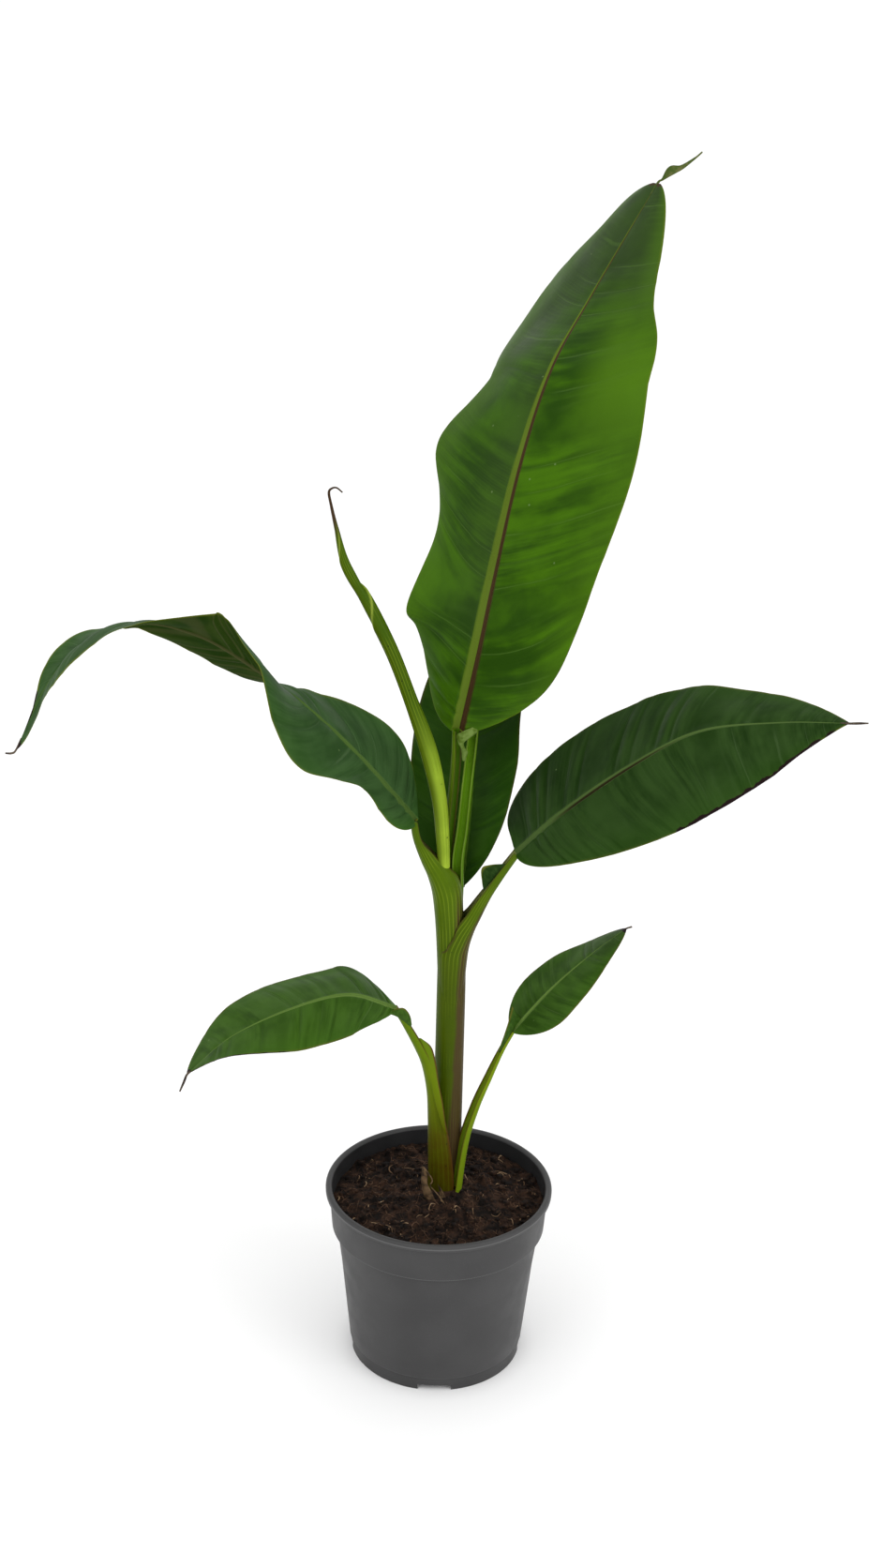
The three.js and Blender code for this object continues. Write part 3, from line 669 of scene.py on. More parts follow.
def stalkFinish(name, look):
    # Colour by height from foot to top, with painted shade on the left side by the share given for it, purple
    # where it faces right, with fine ribs lengthwise, small dark dots, a paler inside and a thin line along the
    # open edges. Heights are in metres above the floor.
    material, tree, shader = startFinish(name, Roughness=0.42, Specular_IOR_Level=0.06)
    place = placeOf(tree)
    height = splitUp(tree, place)[2]
    right = marked(tree, "rightward")
    angle = sums(tree, "ARCTAN2", right, marked(tree, "frontward"))
    cloud = ranged(tree, grain(tree, place, 35, 4), 0.35, 0.65)
    skin = blended(tree, ranged(tree, height, 0.16, look["footTo"]), look["foot"], look["middle"])
    skin = blended(tree, ranged(tree, height, look["topFrom"], look["topTo"]), skin, look["top"])
    skin = blended(tree, times(tree, cloud, 0.3), skin, look["shade"])
    # Painted shade on the side that faces left.
    skin = blended(tree, ranged(tree, right, -0.8, 0.25, look["leftShade"], 0.0), skin, look["shade"])
    lower = ranged(tree, height, 0.15, 0.28, 0.5, 0.0)
    turned = added(tree, added(tree, right, lower), times(tree, cloud, 0.12))
    blush = ranged(tree, turned, look["blushFrom"], look["blushFrom"] + 0.3)
    lowDown = ranged(tree, height, look["blushEnd"], look["blushEnd"] + 0.04, 1.0, 0.0)
    skin = blended(tree, times(tree, times(tree, blush, lowDown), 0.85), skin, look["blush"])
    wander = times(tree, grain(tree, place, 40, 2), 1.5)
    ribs = sums(tree, "SINE", added(tree, times(tree, angle, look["ribs"]), wander))
    patches = ranged(tree, grain(tree, place, 28, 1), 0.34, 0.5)
    here = times(tree, patches, ranged(tree, height, 0.3, 0.36, 0.25, 1.0))
    ribLine = times(tree, ranged(tree, ribs, 0.45, 1.0), here)
    skin = blended(tree, times(tree, ribLine, 0.6), skin, look["line"])
    skin = blended(tree, times(tree, marked(tree, "inside"), 0.75), skin, look["inner"])
    skin = blended(tree, ranged(tree, height, look["endFrom"], look["endFrom"] + 0.02), skin, look["end"])
    dots = specks(tree, place, 210, 0.16, 0.09)
    skin = blended(tree, times(tree, dots, 0.75), skin, look["dot"])
    skin = blended(tree, times(tree, marked(tree, "lip"), look["lipShare"]), skin, look["lip"])
    feed(shader.inputs["Base Color"], skin)
    relief = added(tree, times(tree, times(tree, ribs, here), 0.4), grain(tree, place, 420, 3))
    roughen(tree, shader, relief, 0.3 * mm, 0.6)
    return material


stemLook = {
    "foot": (0.045, 0.026, 0.005), "footTo": 0.22, "middle": (0.052, 0.082, 0.001), "topFrom": 0.3,
    "topTo": 0.4, "top": (0.066, 0.12, 0.001), "shade": (0.033, 0.064, 0.001), "blush": (0.06, 0.034, 0.015),
    "blushFrom": 0.36, "blushEnd": 0.36, "ribs": 30, "line": (0.15, 0.22, 0.01), "inner": (0.22, 0.25, 0.08),
    "leftShade": 0.0, "dot": (0.008, 0.01, 0.003), "lip": (0.05, 0.024, 0.01), "lipShare": 0.75,
    "end": (0.05, 0.028, 0.012), "endFrom": 3.0,
}
stalkLook = dict(stemLook, ribs=24)
tallStalkLook = dict(stemLook, middle=(0.08, 0.14, 0.003), top=(0.07, 0.13, 0.003), topTo=0.5,
                     inner=(0.04, 0.115, 0.001), blushFrom=1.5, ribs=20)
lowStalkLook = dict(stemLook, foot=(0.046, 0.021, 0.001), footTo=0.24, line=(0.11, 0.16, 0.004),
                    middle=(0.115, 0.165, 0.001), topFrom=0.22, topTo=0.3, top=(0.09, 0.16, 0.003),
                    shade=(0.075, 0.13, 0.001), blushFrom=1.5, ribs=18, lip=(0.075, 0.028, 0.006),
                    lipShare=0.9)
lightStalkLook = dict(lowStalkLook, foot=(0.14, 0.21, 0.006), middle=(0.165, 0.24, 0.004),
                      inner=(0.14, 0.21, 0.006), top=(0.11, 0.18, 0.003))
backStalkLook = dict(stemLook, middle=(0.075, 0.175, 0.003), top=(0.065, 0.16, 0.004), blushFrom=1.5, ribs=12,
                     inner=(0.085, 0.2, 0.003), lip=(0.24, 0.34, 0.06), lipShare=0.45)
# The spear's left side carries painted shade.
spearLook = dict(stemLook, foot=(0.2, 0.3, 0.015), middle=(0.3, 0.43, 0.03), footTo=0.43, topFrom=0.45,
                 topTo=0.54, top=(0.04, 0.085, 0.001), shade=(0.06, 0.1, 0.002), leftShade=0.85, blushFrom=1.5,
                 ribs=14, lip=(0.3, 0.38, 0.05), lipShare=0.7, endFrom=0.64)
stemSkin = stalkFinish("stem_sheath", stemLook)
stalkSkin = stalkFinish("leaf_stalk", stalkLook)
lowStalkSkin = stalkFinish("low_leaf_stalk", lowStalkLook)
lightStalkSkin = stalkFinish("light_leaf_stalk", lightStalkLook)
tallStalkSkin = stalkFinish("tall_leaf_stalk", tallStalkLook)
backStalkSkin = stalkFinish("back_leaf_stalk", backStalkLook)
spearSkin = stalkFinish("rolled_leaf", spearLook)

stemParts = {  # millimetres: centre, half width, half depth
    "stem": [[4, 12, 116, 11.8, 11.2], [5, 11, 175, 11, 10.5], [5.5, 10, 240, 10.6, 10],
             [5.6, 8, 310, 10.4, 9.6], [5, 7, 345, 9.6, 8.8], [3, 6, 375, 8, 7]],
    "right": {
        "stations": [[5.6, 8, 292, 9.2, 8.8], [5.8, 6.8, 320, 10.9, 10.4], [7, 5, 338, 11.2, 10.9],
                     [12.4, 2.4, 353, 9.6, 9], [19.4, -0.6, 366, 7, 6.6], [28, -4, 384, 5.6, 5],
                     [38, -6.6, 402, 4.8, 4.2], [48.5, -8, 419, 4.2, 3.6]],
        "facing": [(0, (-0.9, -0.2, 0.1)), (0.35, (-0.9, -0.1, 0.2)), (0.7, (-0.7, 0.0, 0.7)),
                   (1, (-0.5, 0.0, 0.8))],
        "gap": [(0, 2), (0.22, 3), (0.3, 52), (0.38, 56), (0.5, 42), (0.62, 46), (0.75, 60), (1, 66)],
        "wall": [(0, 0.1), (0.4, 0.12), (0.6, 0.3), (1, 0.5)],
    },
    "left": {
        "stations": [[4.6, 7.2, 316, 9.4, 9.2], [3.6, 5, 346, 9.8, 9.8], [2.5, 2.4, 368, 10.6, 10.4],
                     [0.6, 0.4, 386, 12, 10.8], [-4, -0.8, 399, 11, 9.8], [-11, -2, 410, 7.8, 7.4],
                     [-17.2, -3.2, 421, 5.4, 5.2], [-20.6, -3.9, 430, 4.5, 4.2], [-22.5, -4.2, 440, 4, 3.6]],
        "facing": [(0, (0.9, 0.25, 0.1)), (0.4, (0.95, 0.25, 0.1)), (0.7, (0.9, 0.2, 0.4)),
                   (1, (0.8, 0.1, 0.6))],
        "gap": [(0, 2), (0.33, 4), (0.44, 18), (0.52, 38), (0.65, 56), (0.8, 78), (1, 70)],
        "wall": [(0, 0.12), (0.45, 0.13), (0.7, 0.26), (0.85, 0.42), (1, 0.5)],
    },
    "tall": {
        "stations": [[0, 4, 360, 4.6, 4.4], [0, 3, 395, 4.4, 4.2], [1.6, 2, 430, 4.2, 4],
                     [3.8, 1, 461, 3.9, 3.8], [5.2, -1, 488, 3.8, 3.6], [5.2, -2, 508, 3.6, 3.2]],
        "facing": [(0, (0.75, -0.6, 0.2)), (1, (0.75, -0.6, 0.2))],
        "gap": [(0, 50), (0.6, 56), (1, 64)],
        "wall": [(0, 0.5), (1, 0.5)],
    },
    "back": {
        "stations": [[7.2, 6, 345, 4.2, 3.6], [8.4, 2.5, 380, 4.3, 3.8], [8.2, 1.4, 408, 4.4, 3.8],
                     [10.8, 2.4, 432, 4.2, 3.6], [13, 5, 460, 4, 3.3], [16.4, 12, 500, 3.8, 3],
                     [18.4, 22, 530, 3.2, 2.6]],
        "facing": [(0, (-0.3, -0.9, 0.2)), (1, (-0.2, -0.9, 0.2))],
        "gap": [(0, 50), (0.5, 54), (1, 62)],
        "wall": [(0, 0.5), (1, 0.55)],
    },
    "lowLeft": {
        "stations": [[3.6, 5, 116, 11.6, 12.6], [3, 3, 150, 10.8, 11.4], [1.2, 0, 178, 9.4, 10.2],
                     [-1.6, -3, 202, 7.7, 8], [-5.2, -6, 225, 6.1, 5.6], [-10, -8, 247, 5.9, 4.6],
                     [-15.8, -9, 262, 6.2, 4.2], [-25.3, -9, 280, 4.4, 3.5], [-34, -8.4, 294, 3.6, 2.6]],
        "facing": [(0, (0.9, 0.25, 0.2)), (0.4, (0.95, 0.15, 0.2)), (0.75, (0.7, 0.2, 0.7)),
                   (1, (0.3, 0.2, 1))],
        "gap": [(0, 58), (0.3, 62), (0.6, 60), (1, 64)],
        "wall": [(0, 0.2), (0.3, 0.24), (0.6, 0.42), (1, 0.5)],
    },
    "lowRight": {
        "stations": [[11, -4, 118, 4.4, 4.4], [17, 2.6, 172, 4.9, 3.9], [25, 5.6, 203, 4.3, 3.3],
                     [34.8, 5.8, 230, 3.6, 2.8], [43.5, 6.5, 252, 2.8, 2.3], [51.5, 7.2, 268, 2.4, 1.9]],
        "facing": [(0, (-0.9, -0.3, 0.2)), (0.5, (-0.8, -0.4, 0.4)), (1, (-0.6, -0.2, 0.8))],
        "gap": [(0, 60), (0.5, 50), (1, 60)],
        "wall": [(0, 0.35), (0.5, 0.5), (1, 0.5)],
    },
}

roundPiece("stem_skin", stemParts["stem"], 260, 144, stemSkin, "stem", ["pseudostem"])
sheathPiece("right_stalk_skin", stemParts["right"], stalkSkin, "stalk", ["right_stalk"])
sheathPiece("left_stalk_skin", stemParts["left"], stalkSkin, "stalk", ["left_stalk"])
sheathPiece("tall_stalk_skin", stemParts["tall"], tallStalkSkin, "stalk", ["tall_stalk"])
sheathPiece("back_stalk_skin", stemParts["back"], backStalkSkin, "stalk")
sheathPiece("low_left_stalk_skin", stemParts["lowLeft"], lowStalkSkin, "stalk", ["low_left_stalk"])
sheathPiece("low_right_stalk_skin", stemParts["lowRight"], lightStalkSkin, "stalk", ["low_right_stalk"])

# Spear: a leaf still rolled
spearMake = {
    "stations": [[-1, -1, 366, 4.4, 4], [-1.6, -4.6, 405, 4.8, 4.6], [-3, -7.4, 430, 5.2, 5],
                 [-6, -9, 460, 5.8, 5.4], [-14, -9, 495, 6.6, 6], [-27, -10, 533, 5.3, 5],
                 [-40, -9.5, 567, 5.2, 4.8], [-56, -8.5, 599, 4.9, 4.4], [-72, -7, 627, 3.6, 3.2],
                 [-78.5, -6, 652, 1.6, 1.5], [-82, -5, 667, 1, 1], [-83.6, -5, 676, 0.9, 0.9],
                 [-81.6, -5, 679, 0.7, 0.7], [-78.4, -5, 679.4, 0.6, 0.6], [-74.6, -5, 676.4, 0.5, 0.5]],
    "wrap": 0.17, "winds": 1.5,
}


def rolledShape(t, a):
    # A spiral section: the radius falls evenly once round, so that the free margin stands up as a step, which
    # winds round the roll higher up.
    wound = 0.28 * t + 0.05 * np.sin(9 * t) + spearMake["winds"] * smoothStep(0.4, 0.64, t)
    turn = (a / (2 * math.pi) + 0.62 - wound) % 1
    loose = 1 - smoothStep(0.6, 0.68, t)
    lift = spearMake["wrap"] * loose * (1 + 1.2 * np.exp(-(((t - 0.53) / 0.02) ** 2)))
    step = np.where(turn < 0.04, turn / 0.04, 1 - (turn - 0.04) / 0.96)
    edge = np.exp(-(((turn - 0.04) / 0.03) ** 2)) * loose
    return 1 - lift * (1 - step) + 0.012 * np.sin(3 * a + 30 * t), edge


roundPiece("spear_skin", spearMake["stations"], 420, 96, spearSkin, "young_leaf", ["spear_leaf"],
           shape=rolledShape)


# Drawn-out tips
def tipThread(name, leaf, material):
    # A thin tail from just inside the tip through the thread's points, round in section.
    end = ribFrame(leaf, np.array([0.975, 1.0]))[0]
    half = leaf["thread"][0][3]
    stations = [[*end[0], half * 0.8, 0.4], [*end[1], half * 0.9, 0.4]]
    stations += [[x, y, z, h, min(h, 0.6)] for x, y, z, h in leaf["thread"]]
    roundPiece(name, stations, 60, 12, material, "leaf", facing=((0, (0, -0.8, 0.6)), (1, (0, -0.8, 0.6))))


def dryFinish(name, dark, light):
    # A dull skin, blotched from dark to light.
    material, tree, shader = startFinish(name, Roughness=0.7, Specular_IOR_Level=0.15)
    skin = blended(tree, ranged(tree, grain(tree, placeOf(tree), 220), 0.35, 0.65), dark, light)
    feed(shader.inputs["Base Color"], skin)
    return material


dryTip = dryFinish("dry_tip", (0.018, 0.012, 0.01), (0.1, 0.075, 0.05))
greenTip = dryFinish("green_tip", (0.04, 0.075, 0.008), (0.1, 0.11, 0.03))
curlSkin = dryFinish("leaf_curl", (0.055, 0.1, 0.004), (0.13, 0.2, 0.04))
huskSkin = dryFinish("dry_husk", (0.03, 0.018, 0.01), (0.16, 0.1, 0.05))
tippedLeaves = {
    "right_tip": rightLeaf, "tall_tip": tallLeaf, "left_tip": leftLeaf,
    "low_left_tip": lowLeftLeaf, "low_right_tip": lowRightLeaf, "back_tip": backLeaf,
}
for threadName, leaf in tippedLeaves.items():
    tipThread(threadName, leaf, greenTip if leaf is tallLeaf else dryTip)

# Small flaps: points in millimetres, in rows from one end of the flap to the other
flapMake = {
    "right_wing": [[[27, -7, 388], [26.4, -7, 390], [25.8, -7, 392]],
                   [[32, -8.5, 396], [28.5, -8, 400], [24.8, -7, 405]],
                   [[38, -9.5, 404], [35, -9, 407], [31, -7.5, 408.6]],
                   [[48, -10, 413], [45, -9.5, 411], [42, -8.5, 410]]],
    "tall_curl": [[[19, -5, 513], [19, -6.5, 509], [18, -6, 507]],
                  [[9, -7, 509], [9.6, -9, 505], [10.4, -8, 501.5]],
                  [[4.8, -6, 505], [7.4, -9.4, 500], [11, -8, 497]],
                  [[8, -5, 496], [10.5, -7.4, 494], [13, -5.4, 493]],
                  [[9.2, -3.6, 486], [10.2, -4.6, 486], [11.2, -3.6, 486]]],
    "low_left_margin": [[[-17, -12, 271], [-16, -12, 271], [-14.6, -11.5, 270]],
                        [[-15, -13, 262], [-11.5, -13, 263], [-7.6, -11, 263]],
                        [[-11.5, -13, 250], [-8, -13, 250], [-4, -11, 249]],
                        [[-8, -13, 236], [-5, -13, 236], [-2, -11.5, 235]],
                        [[-4, -13.4, 218], [-1.5, -13.5, 218], [1.6, -12.6, 217]],
                        [[1, -13, 199], [2.4, -13, 199], [4, -12.6, 199]],
                        [[4, -11.6, 190], [4.6, -11.6, 190], [5.4, -11.4, 190]]],
    "low_right_wing": [[[57.5, 9, 277.5], [53.9, 8, 282.6], [50.6, 8, 288]],
                       [[52.9, 7, 270.7], [50.7, 6, 274.3], [48.5, 6, 278.2]],
                       [[50.3, 5.5, 265.2], [48.1, 5, 267], [46, 5, 268.5]],
                       [[46.7, 5, 257.6], [45.3, 4.5, 258.6], [43.5, 4.5, 259.7]],
                       [[43.5, 5, 250.4], [42.4, 4.5, 251.1], [41, 4.5, 251.4]]],
    "low_left_lobe": [[[-39, -11, 289.8], [-38.3, -11.5, 290.9], [-37.6, -11.5, 292]],
                      [[-33.5, -12.5, 288.5], [-32.8, -13.5, 292.5], [-32.2, -12.5, 295.4]],
                      [[-29.4, -12.5, 285.5], [-28.1, -14.5, 291.2], [-27.5, -12.5, 295.1]],
                      [[-26.6, -12.5, 282.5], [-24.6, -14, 286.4], [-23.7, -12, 289.2]],
                      [[-23.9, -12, 279.2], [-22.9, -12.5, 280.7], [-22.3, -11.5, 281.7]]],
    "foot_husk": [[[-11, -10, 134], [-8, -15, 134], [-2, -17, 135]],
                  [[-12.6, -12, 145], [-9.6, -16, 144], [-5, -16.6, 143]],
                  [[-13.2, -13, 155], [-11, -16, 153], [-8.4, -15.6, 150]],
                  [[-12.4, -14, 164], [-10, -17, 162], [-8.6, -15.4, 157]]],
    "foot_shred": [[[1, -15, 133], [4, -17, 133], [7, -17, 133]],
                   [[0.6, -13.6, 141], [2.6, -15, 140], [5, -15.4, 139]],
                   [[-1, -14, 149], [0.2, -15.4, 148], [1.6, -15, 146]]],
}
patchPiece("right_wing", flapMake["right_wing"], 0.6, oldLeaf, "leaf")
patchPiece("tall_curl", flapMake["tall_curl"], 0.6, curlSkin, "young_leaf")
patchPiece("low_left_margin", flapMake["low_left_margin"], 0.7, lowStalkSkin, "stalk")
patchPiece("low_right_wing", flapMake["low_right_wing"], 0.6, lowLeaf, "leaf")
patchPiece("low_left_lobe", flapMake["low_left_lobe"], 0.6, lowLeaf, "leaf")
patchPiece("foot_husk", flapMake["foot_husk"], 0.5, huskSkin, "stem")
patchPiece("foot_shred", flapMake["foot_shred"], 0.5, huskSkin, "stem")
huskString = [[-12, -15, 164, 0.5, 0.5], [-9, -18, 162, 0.5, 0.5], [-5, -18.6, 155, 0.5, 0.5],
              [-6.4, -18.4, 150, 0.4, 0.4], [-3, -19, 146, 0.4, 0.4], [1, -20, 141, 0.4, 0.4],
              [5, -22, 136, 0.3, 0.3]]
roundPiece("husk_string", huskString, 60, 10, huskSkin, "stem")

# Peat
peatMake = {
    "inner": 79.2, "edgeLevel": 127, "crown": 132.4, "depth": 18.5, "rings": 110, "under": 8, "round": 260,
    "mound": (4, -2, 6, 21),  # where, how high and how wide
    "clods": ((150, (4, 9), 3.4), (620, (1.8, 4), 2.6), (1300, (0.8, 1.9), 1.4)),  # number, widths, height
    "seed": 23,
}


def peatTop(x, y):
    # Height of the peat: a low crown at the stem, with clods as many small rounded bumps in three sizes.
    r = np.hypot(x, y)
    z = peatMake["crown"] - (peatMake["crown"] - peatMake["edgeLevel"]) * smoothStep(22, 80, r)
    moundX, moundY, moundHigh, moundWide = peatMake["mound"]
    z = z + moundHigh * np.exp(-((x - moundX) ** 2 + (y - moundY) ** 2) / moundWide**2)
    dice = np.random.default_rng(peatMake["seed"])
    for number, size, tall in peatMake["clods"]:
        turn, far = dice.uniform(0, 2 * math.pi, number), 80 * np.sqrt(dice.uniform(0, 1, number))
        wide, rise = dice.uniform(*size, number), tall * dice.uniform(-0.5, 1.0, number)
        for cx, cy, w, h in zip(far * np.cos(turn), far * np.sin(turn), wide, rise):
            away = ((x - cx) ** 2 + (y - cy) ** 2) / w**2
            z = z + h * np.clip(1 - away, 0, 1) ** 1.5
    return z


def peatFinish(name, dark, light, speck):
    # Rough and matt, blotched from dark to light, with a few pale specks.
    material, tree, shader = startFinish(name, Roughness=0.95, Specular_IOR_Level=0.2)
    place = placeOf(tree)
    skin = blended(tree, ranged(tree, grain(tree, place, 110, 5, 0.7), 0.4, 0.68), dark, light)
    skin = blended(tree, specks(tree, place, 420, 0.2, 0.07), skin, speck)
    feed(shader.inputs["Base Color"], skin)
    roughen(tree, shader, grain(tree, place, 700, 6, 0.75), 1.2 * mm, 0.9)
    return material


peatSkin = peatFinish("moist_peat", (0.004, 0.0018, 0.001), (0.046, 0.022, 0.012), (0.18, 0.105, 0.055))
fibreSkin = peatFinish("peat_fibre", (0.028, 0.015, 0.009), (0.14, 0.078, 0.046), (0.22, 0.135, 0.08))
paleSkin = peatFinish("pale_fibre", (0.2, 0.12, 0.065), (0.46, 0.32, 0.19), (0.55, 0.45, 0.3))


def buildPeat():
    # Rings from the middle underneath, out along the bottom, up the edge and back in over the top.
    make = peatMake
    a = np.linspace(0, 2 * math.pi, make["round"], endpoint=False)
    under = make["under"]
    outward = np.linspace(0.05, make["inner"], under)
    inward = make["inner"] - (make["inner"] - 0.05) * np.linspace(0, 1, make["rings"])
    r = np.concatenate([outward, inward])[:, None] * np.ones_like(a)
    x, y = r * np.cos(a), r * np.sin(a)
    z = np.full_like(x, make["edgeLevel"] - make["depth"])
    z[:under] += 4 * (1 - (outward / make["inner"]) ** 2)[:, None]
    x[:under], y[:under] = x[:under] * 0.985, y[:under] * 0.985
    z[under:] = peatTop(x[under:], y[under:])
    ringPiece("peat", np.stack([x, y, z], -1) * mm, peatSkin, "soil", ["soil"])


def scattered(number, inner, outer):
    # Random places, equally dense all over the ring from inner to outer.
    turn = chance.uniform(0, 2 * math.pi, number)
    far = np.sqrt(chance.uniform(inner**2, outer**2, number))
    return far * np.cos(turn), far * np.sin(turn)


fibreMake = {"spread": (14, 75), "length": (2, 17), "rise": 2.4, "reach": 76}


def buildFibres(name, number, thickest, material):
    # Thin bent strips lying on the peat: six square rings each, along a short arc with a random rise.
    make = fibreMake
    x, y = scattered(number, *make["spread"])
    turn = chance.uniform(0, 2 * math.pi, number)
    length = chance.gamma(2.4, 2.4, number).clip(*make["length"])
    thick = chance.uniform(0.4, 1.0, number) * thickest
    bend = chance.normal(0, 1.0, number)
    rise = chance.uniform(0.0, make["rise"], number)
    k = np.linspace(-0.5, 0.5, 6)
    heading = turn[:, None] + bend[:, None] * k
    px = x[:, None] + length[:, None] * k * np.cos(heading)
    py = y[:, None] + length[:, None] * k * np.sin(heading)
    far = np.hypot(px, py)
    inside = np.minimum(1, make["reach"] / np.maximum(far, 1e-6))
    px, py = px * inside, py * inside
    pz = peatTop(px, py) + 0.25 + rise[:, None] * (0.25 - k**2) * 2
    corner = np.arange(4) * math.pi / 2 + math.pi / 4
    taper = thick[:, None] * (1 - 1.6 * np.abs(k) ** 2.0)
    offX = -np.sin(heading)[..., None] * np.cos(corner) * taper[..., None]
    offY = np.cos(heading)[..., None] * np.cos(corner) * taper[..., None]
    offZ = np.sin(corner) * taper[..., None] * 0.6
    points = np.stack([px[..., None] + offX, py[..., None] + offY, pz[..., None] + offZ], -1)
    r, c = np.meshgrid(np.arange(5), np.arange(4), indexing="ij")
    a, b = r * 4 + c, r * 4 + (c + 1) % 4
    faces = np.stack([a, b, b + 4, a + 4], -1).reshape(-1, 4)
    faces = np.vstack([faces, [[3, 2, 1, 0]], [[20, 21, 22, 23]]])
    every = (faces[None] + 24 * np.arange(number)[:, None, None]).reshape(-1, 4)
    facedPiece(name, points.reshape(-1, 3) * mm, every, material, "soil")


def buildCrumbs(number=900):
    # Loose crumbs: a cube of eight corners pushed about, each with its own size and turn, half sunk in the
    # peat.
    x, y = scattered(number, 13, 76)
    size = chance.gamma(2.0, 0.55, number).clip(0.4, 3.2)
    corners = np.array([[i, j, k] for i in (-1, 1) for j in (-1, 1) for k in (-1, 1)], float)
    shape = corners[None] * size[:, None, None] * chance.uniform(0.45, 0.9, (number, 8, 3))
    turn = chance.uniform(0, math.pi, number)
    cos, sin = np.cos(turn)[:, None], np.sin(turn)[:, None]
    turned = np.stack([shape[..., 0] * cos - shape[..., 1] * sin, shape[..., 0] * sin + shape[..., 1] * cos,
                       shape[..., 2] * 0.7], -1)
    centre = np.stack([x, y, peatTop(x, y) + 0.2 * size], -1)
    faces = np.array([[0, 1, 3, 2], [4, 6, 7, 5], [0, 4, 5, 1], [2, 3, 7, 6], [0, 2, 6, 4], [1, 5, 7, 3]])
    every = (faces[None] + 8 * np.arange(number)[:, None, None]).reshape(-1, 4)
    facedPiece("peat_crumbs", (turned + centre[:, None]).reshape(-1, 3) * mm, every, peatSkin, "soil")


buildPeat()
buildFibres("peat_fibres", 760, 0.5, fibreSkin)
buildFibres("pale_fibres", 60, 0.6, paleSkin)
buildCrumbs()

# Pot
potMake = {
    "height": 141, "rim": 85, "rimTall": 5, "collarTop": 82, "collar": 80, "collarBottom": 108.5,
    "bodyTop": 75.5,
    "bodyFoot": 66, "foot": 64.5, "footTall": 11, "wall": 1.8, "floor": 2.5, "recess": 5, "boss": 22,
    "ring": 5,
    "notch": (25, 4.5), "notches": 4, "hole": 4.5, "holeCircle": 42, "holes": 8, "round": 192,
    "dark": (0.035, 0.0345, 0.035), "light": (0.044, 0.0435, 0.044), "speck": (0.1, 0.1, 0.1),
    # shade is painted shade inside the pot; edge is a painted highlight along the pot's edges
    "shade": (0.008, 0.008, 0.009), "edge": (0.13, 0.13, 0.13),
}


def potFinish():
    # Dark grey with fine specks, painted shade inside above the collar, and painted highlights along edges.
    material, tree, shader = startFinish("grey_pot", Roughness=0.5, Specular_IOR_Level=0.3)
    place = placeOf(tree)
    x, y, height = splitUp(tree, place)
    far = sums(tree, "SQRT", added(tree, sums(tree, "POWER", x, 2.0), sums(tree, "POWER", y, 2.0)))
    within = sums(tree, "LESS_THAN", far, (potMake["collar"] + 0.05) * mm)
    inside = times(tree, within, sums(tree, "GREATER_THAN", height, (potMake["collarBottom"] + 3) * mm))
    outside = sums(tree, "SUBTRACT", 1.0, inside)
    skin = blended(tree, ranged(tree, grain(tree, place, 30, 4), 0.3, 0.7), potMake["dark"], potMake["light"])
    skin = blended(tree, times(tree, specks(tree, place, 900, 0.25, 0.3), 0.25), skin, potMake["speck"])
    skin = blended(tree, times(tree, inside, 0.75), skin, potMake["shade"])
    rimMiddle = potMake["height"] - potMake["rimTall"] + 2
    # Painted highlights: paler lines at the collar's lower edge, the foot step and the middle of the rim.
    for edge in (potMake["collarBottom"] - 0.2, potMake["footTall"] + 0.1, rimMiddle):
        near = sums(tree, "ABSOLUTE", sums(tree, "SUBTRACT", height, edge * mm))
        paintedLight = times(tree, ranged(tree, near, 0.3 * mm, 0.8 * mm, 0.5, 0.0), outside)
        skin = blended(tree, paintedLight, skin, potMake["edge"])
    feed(shader.inputs["Base Color"], skin)
    feed(shader.inputs["Roughness"], ranged(tree, grain(tree, place, 60, 3), 0.3, 0.7, 0.44, 0.56))
    roughen(tree, shader, grain(tree, place, 1500, 3), 0.15 * mm, 0.35)
    return material


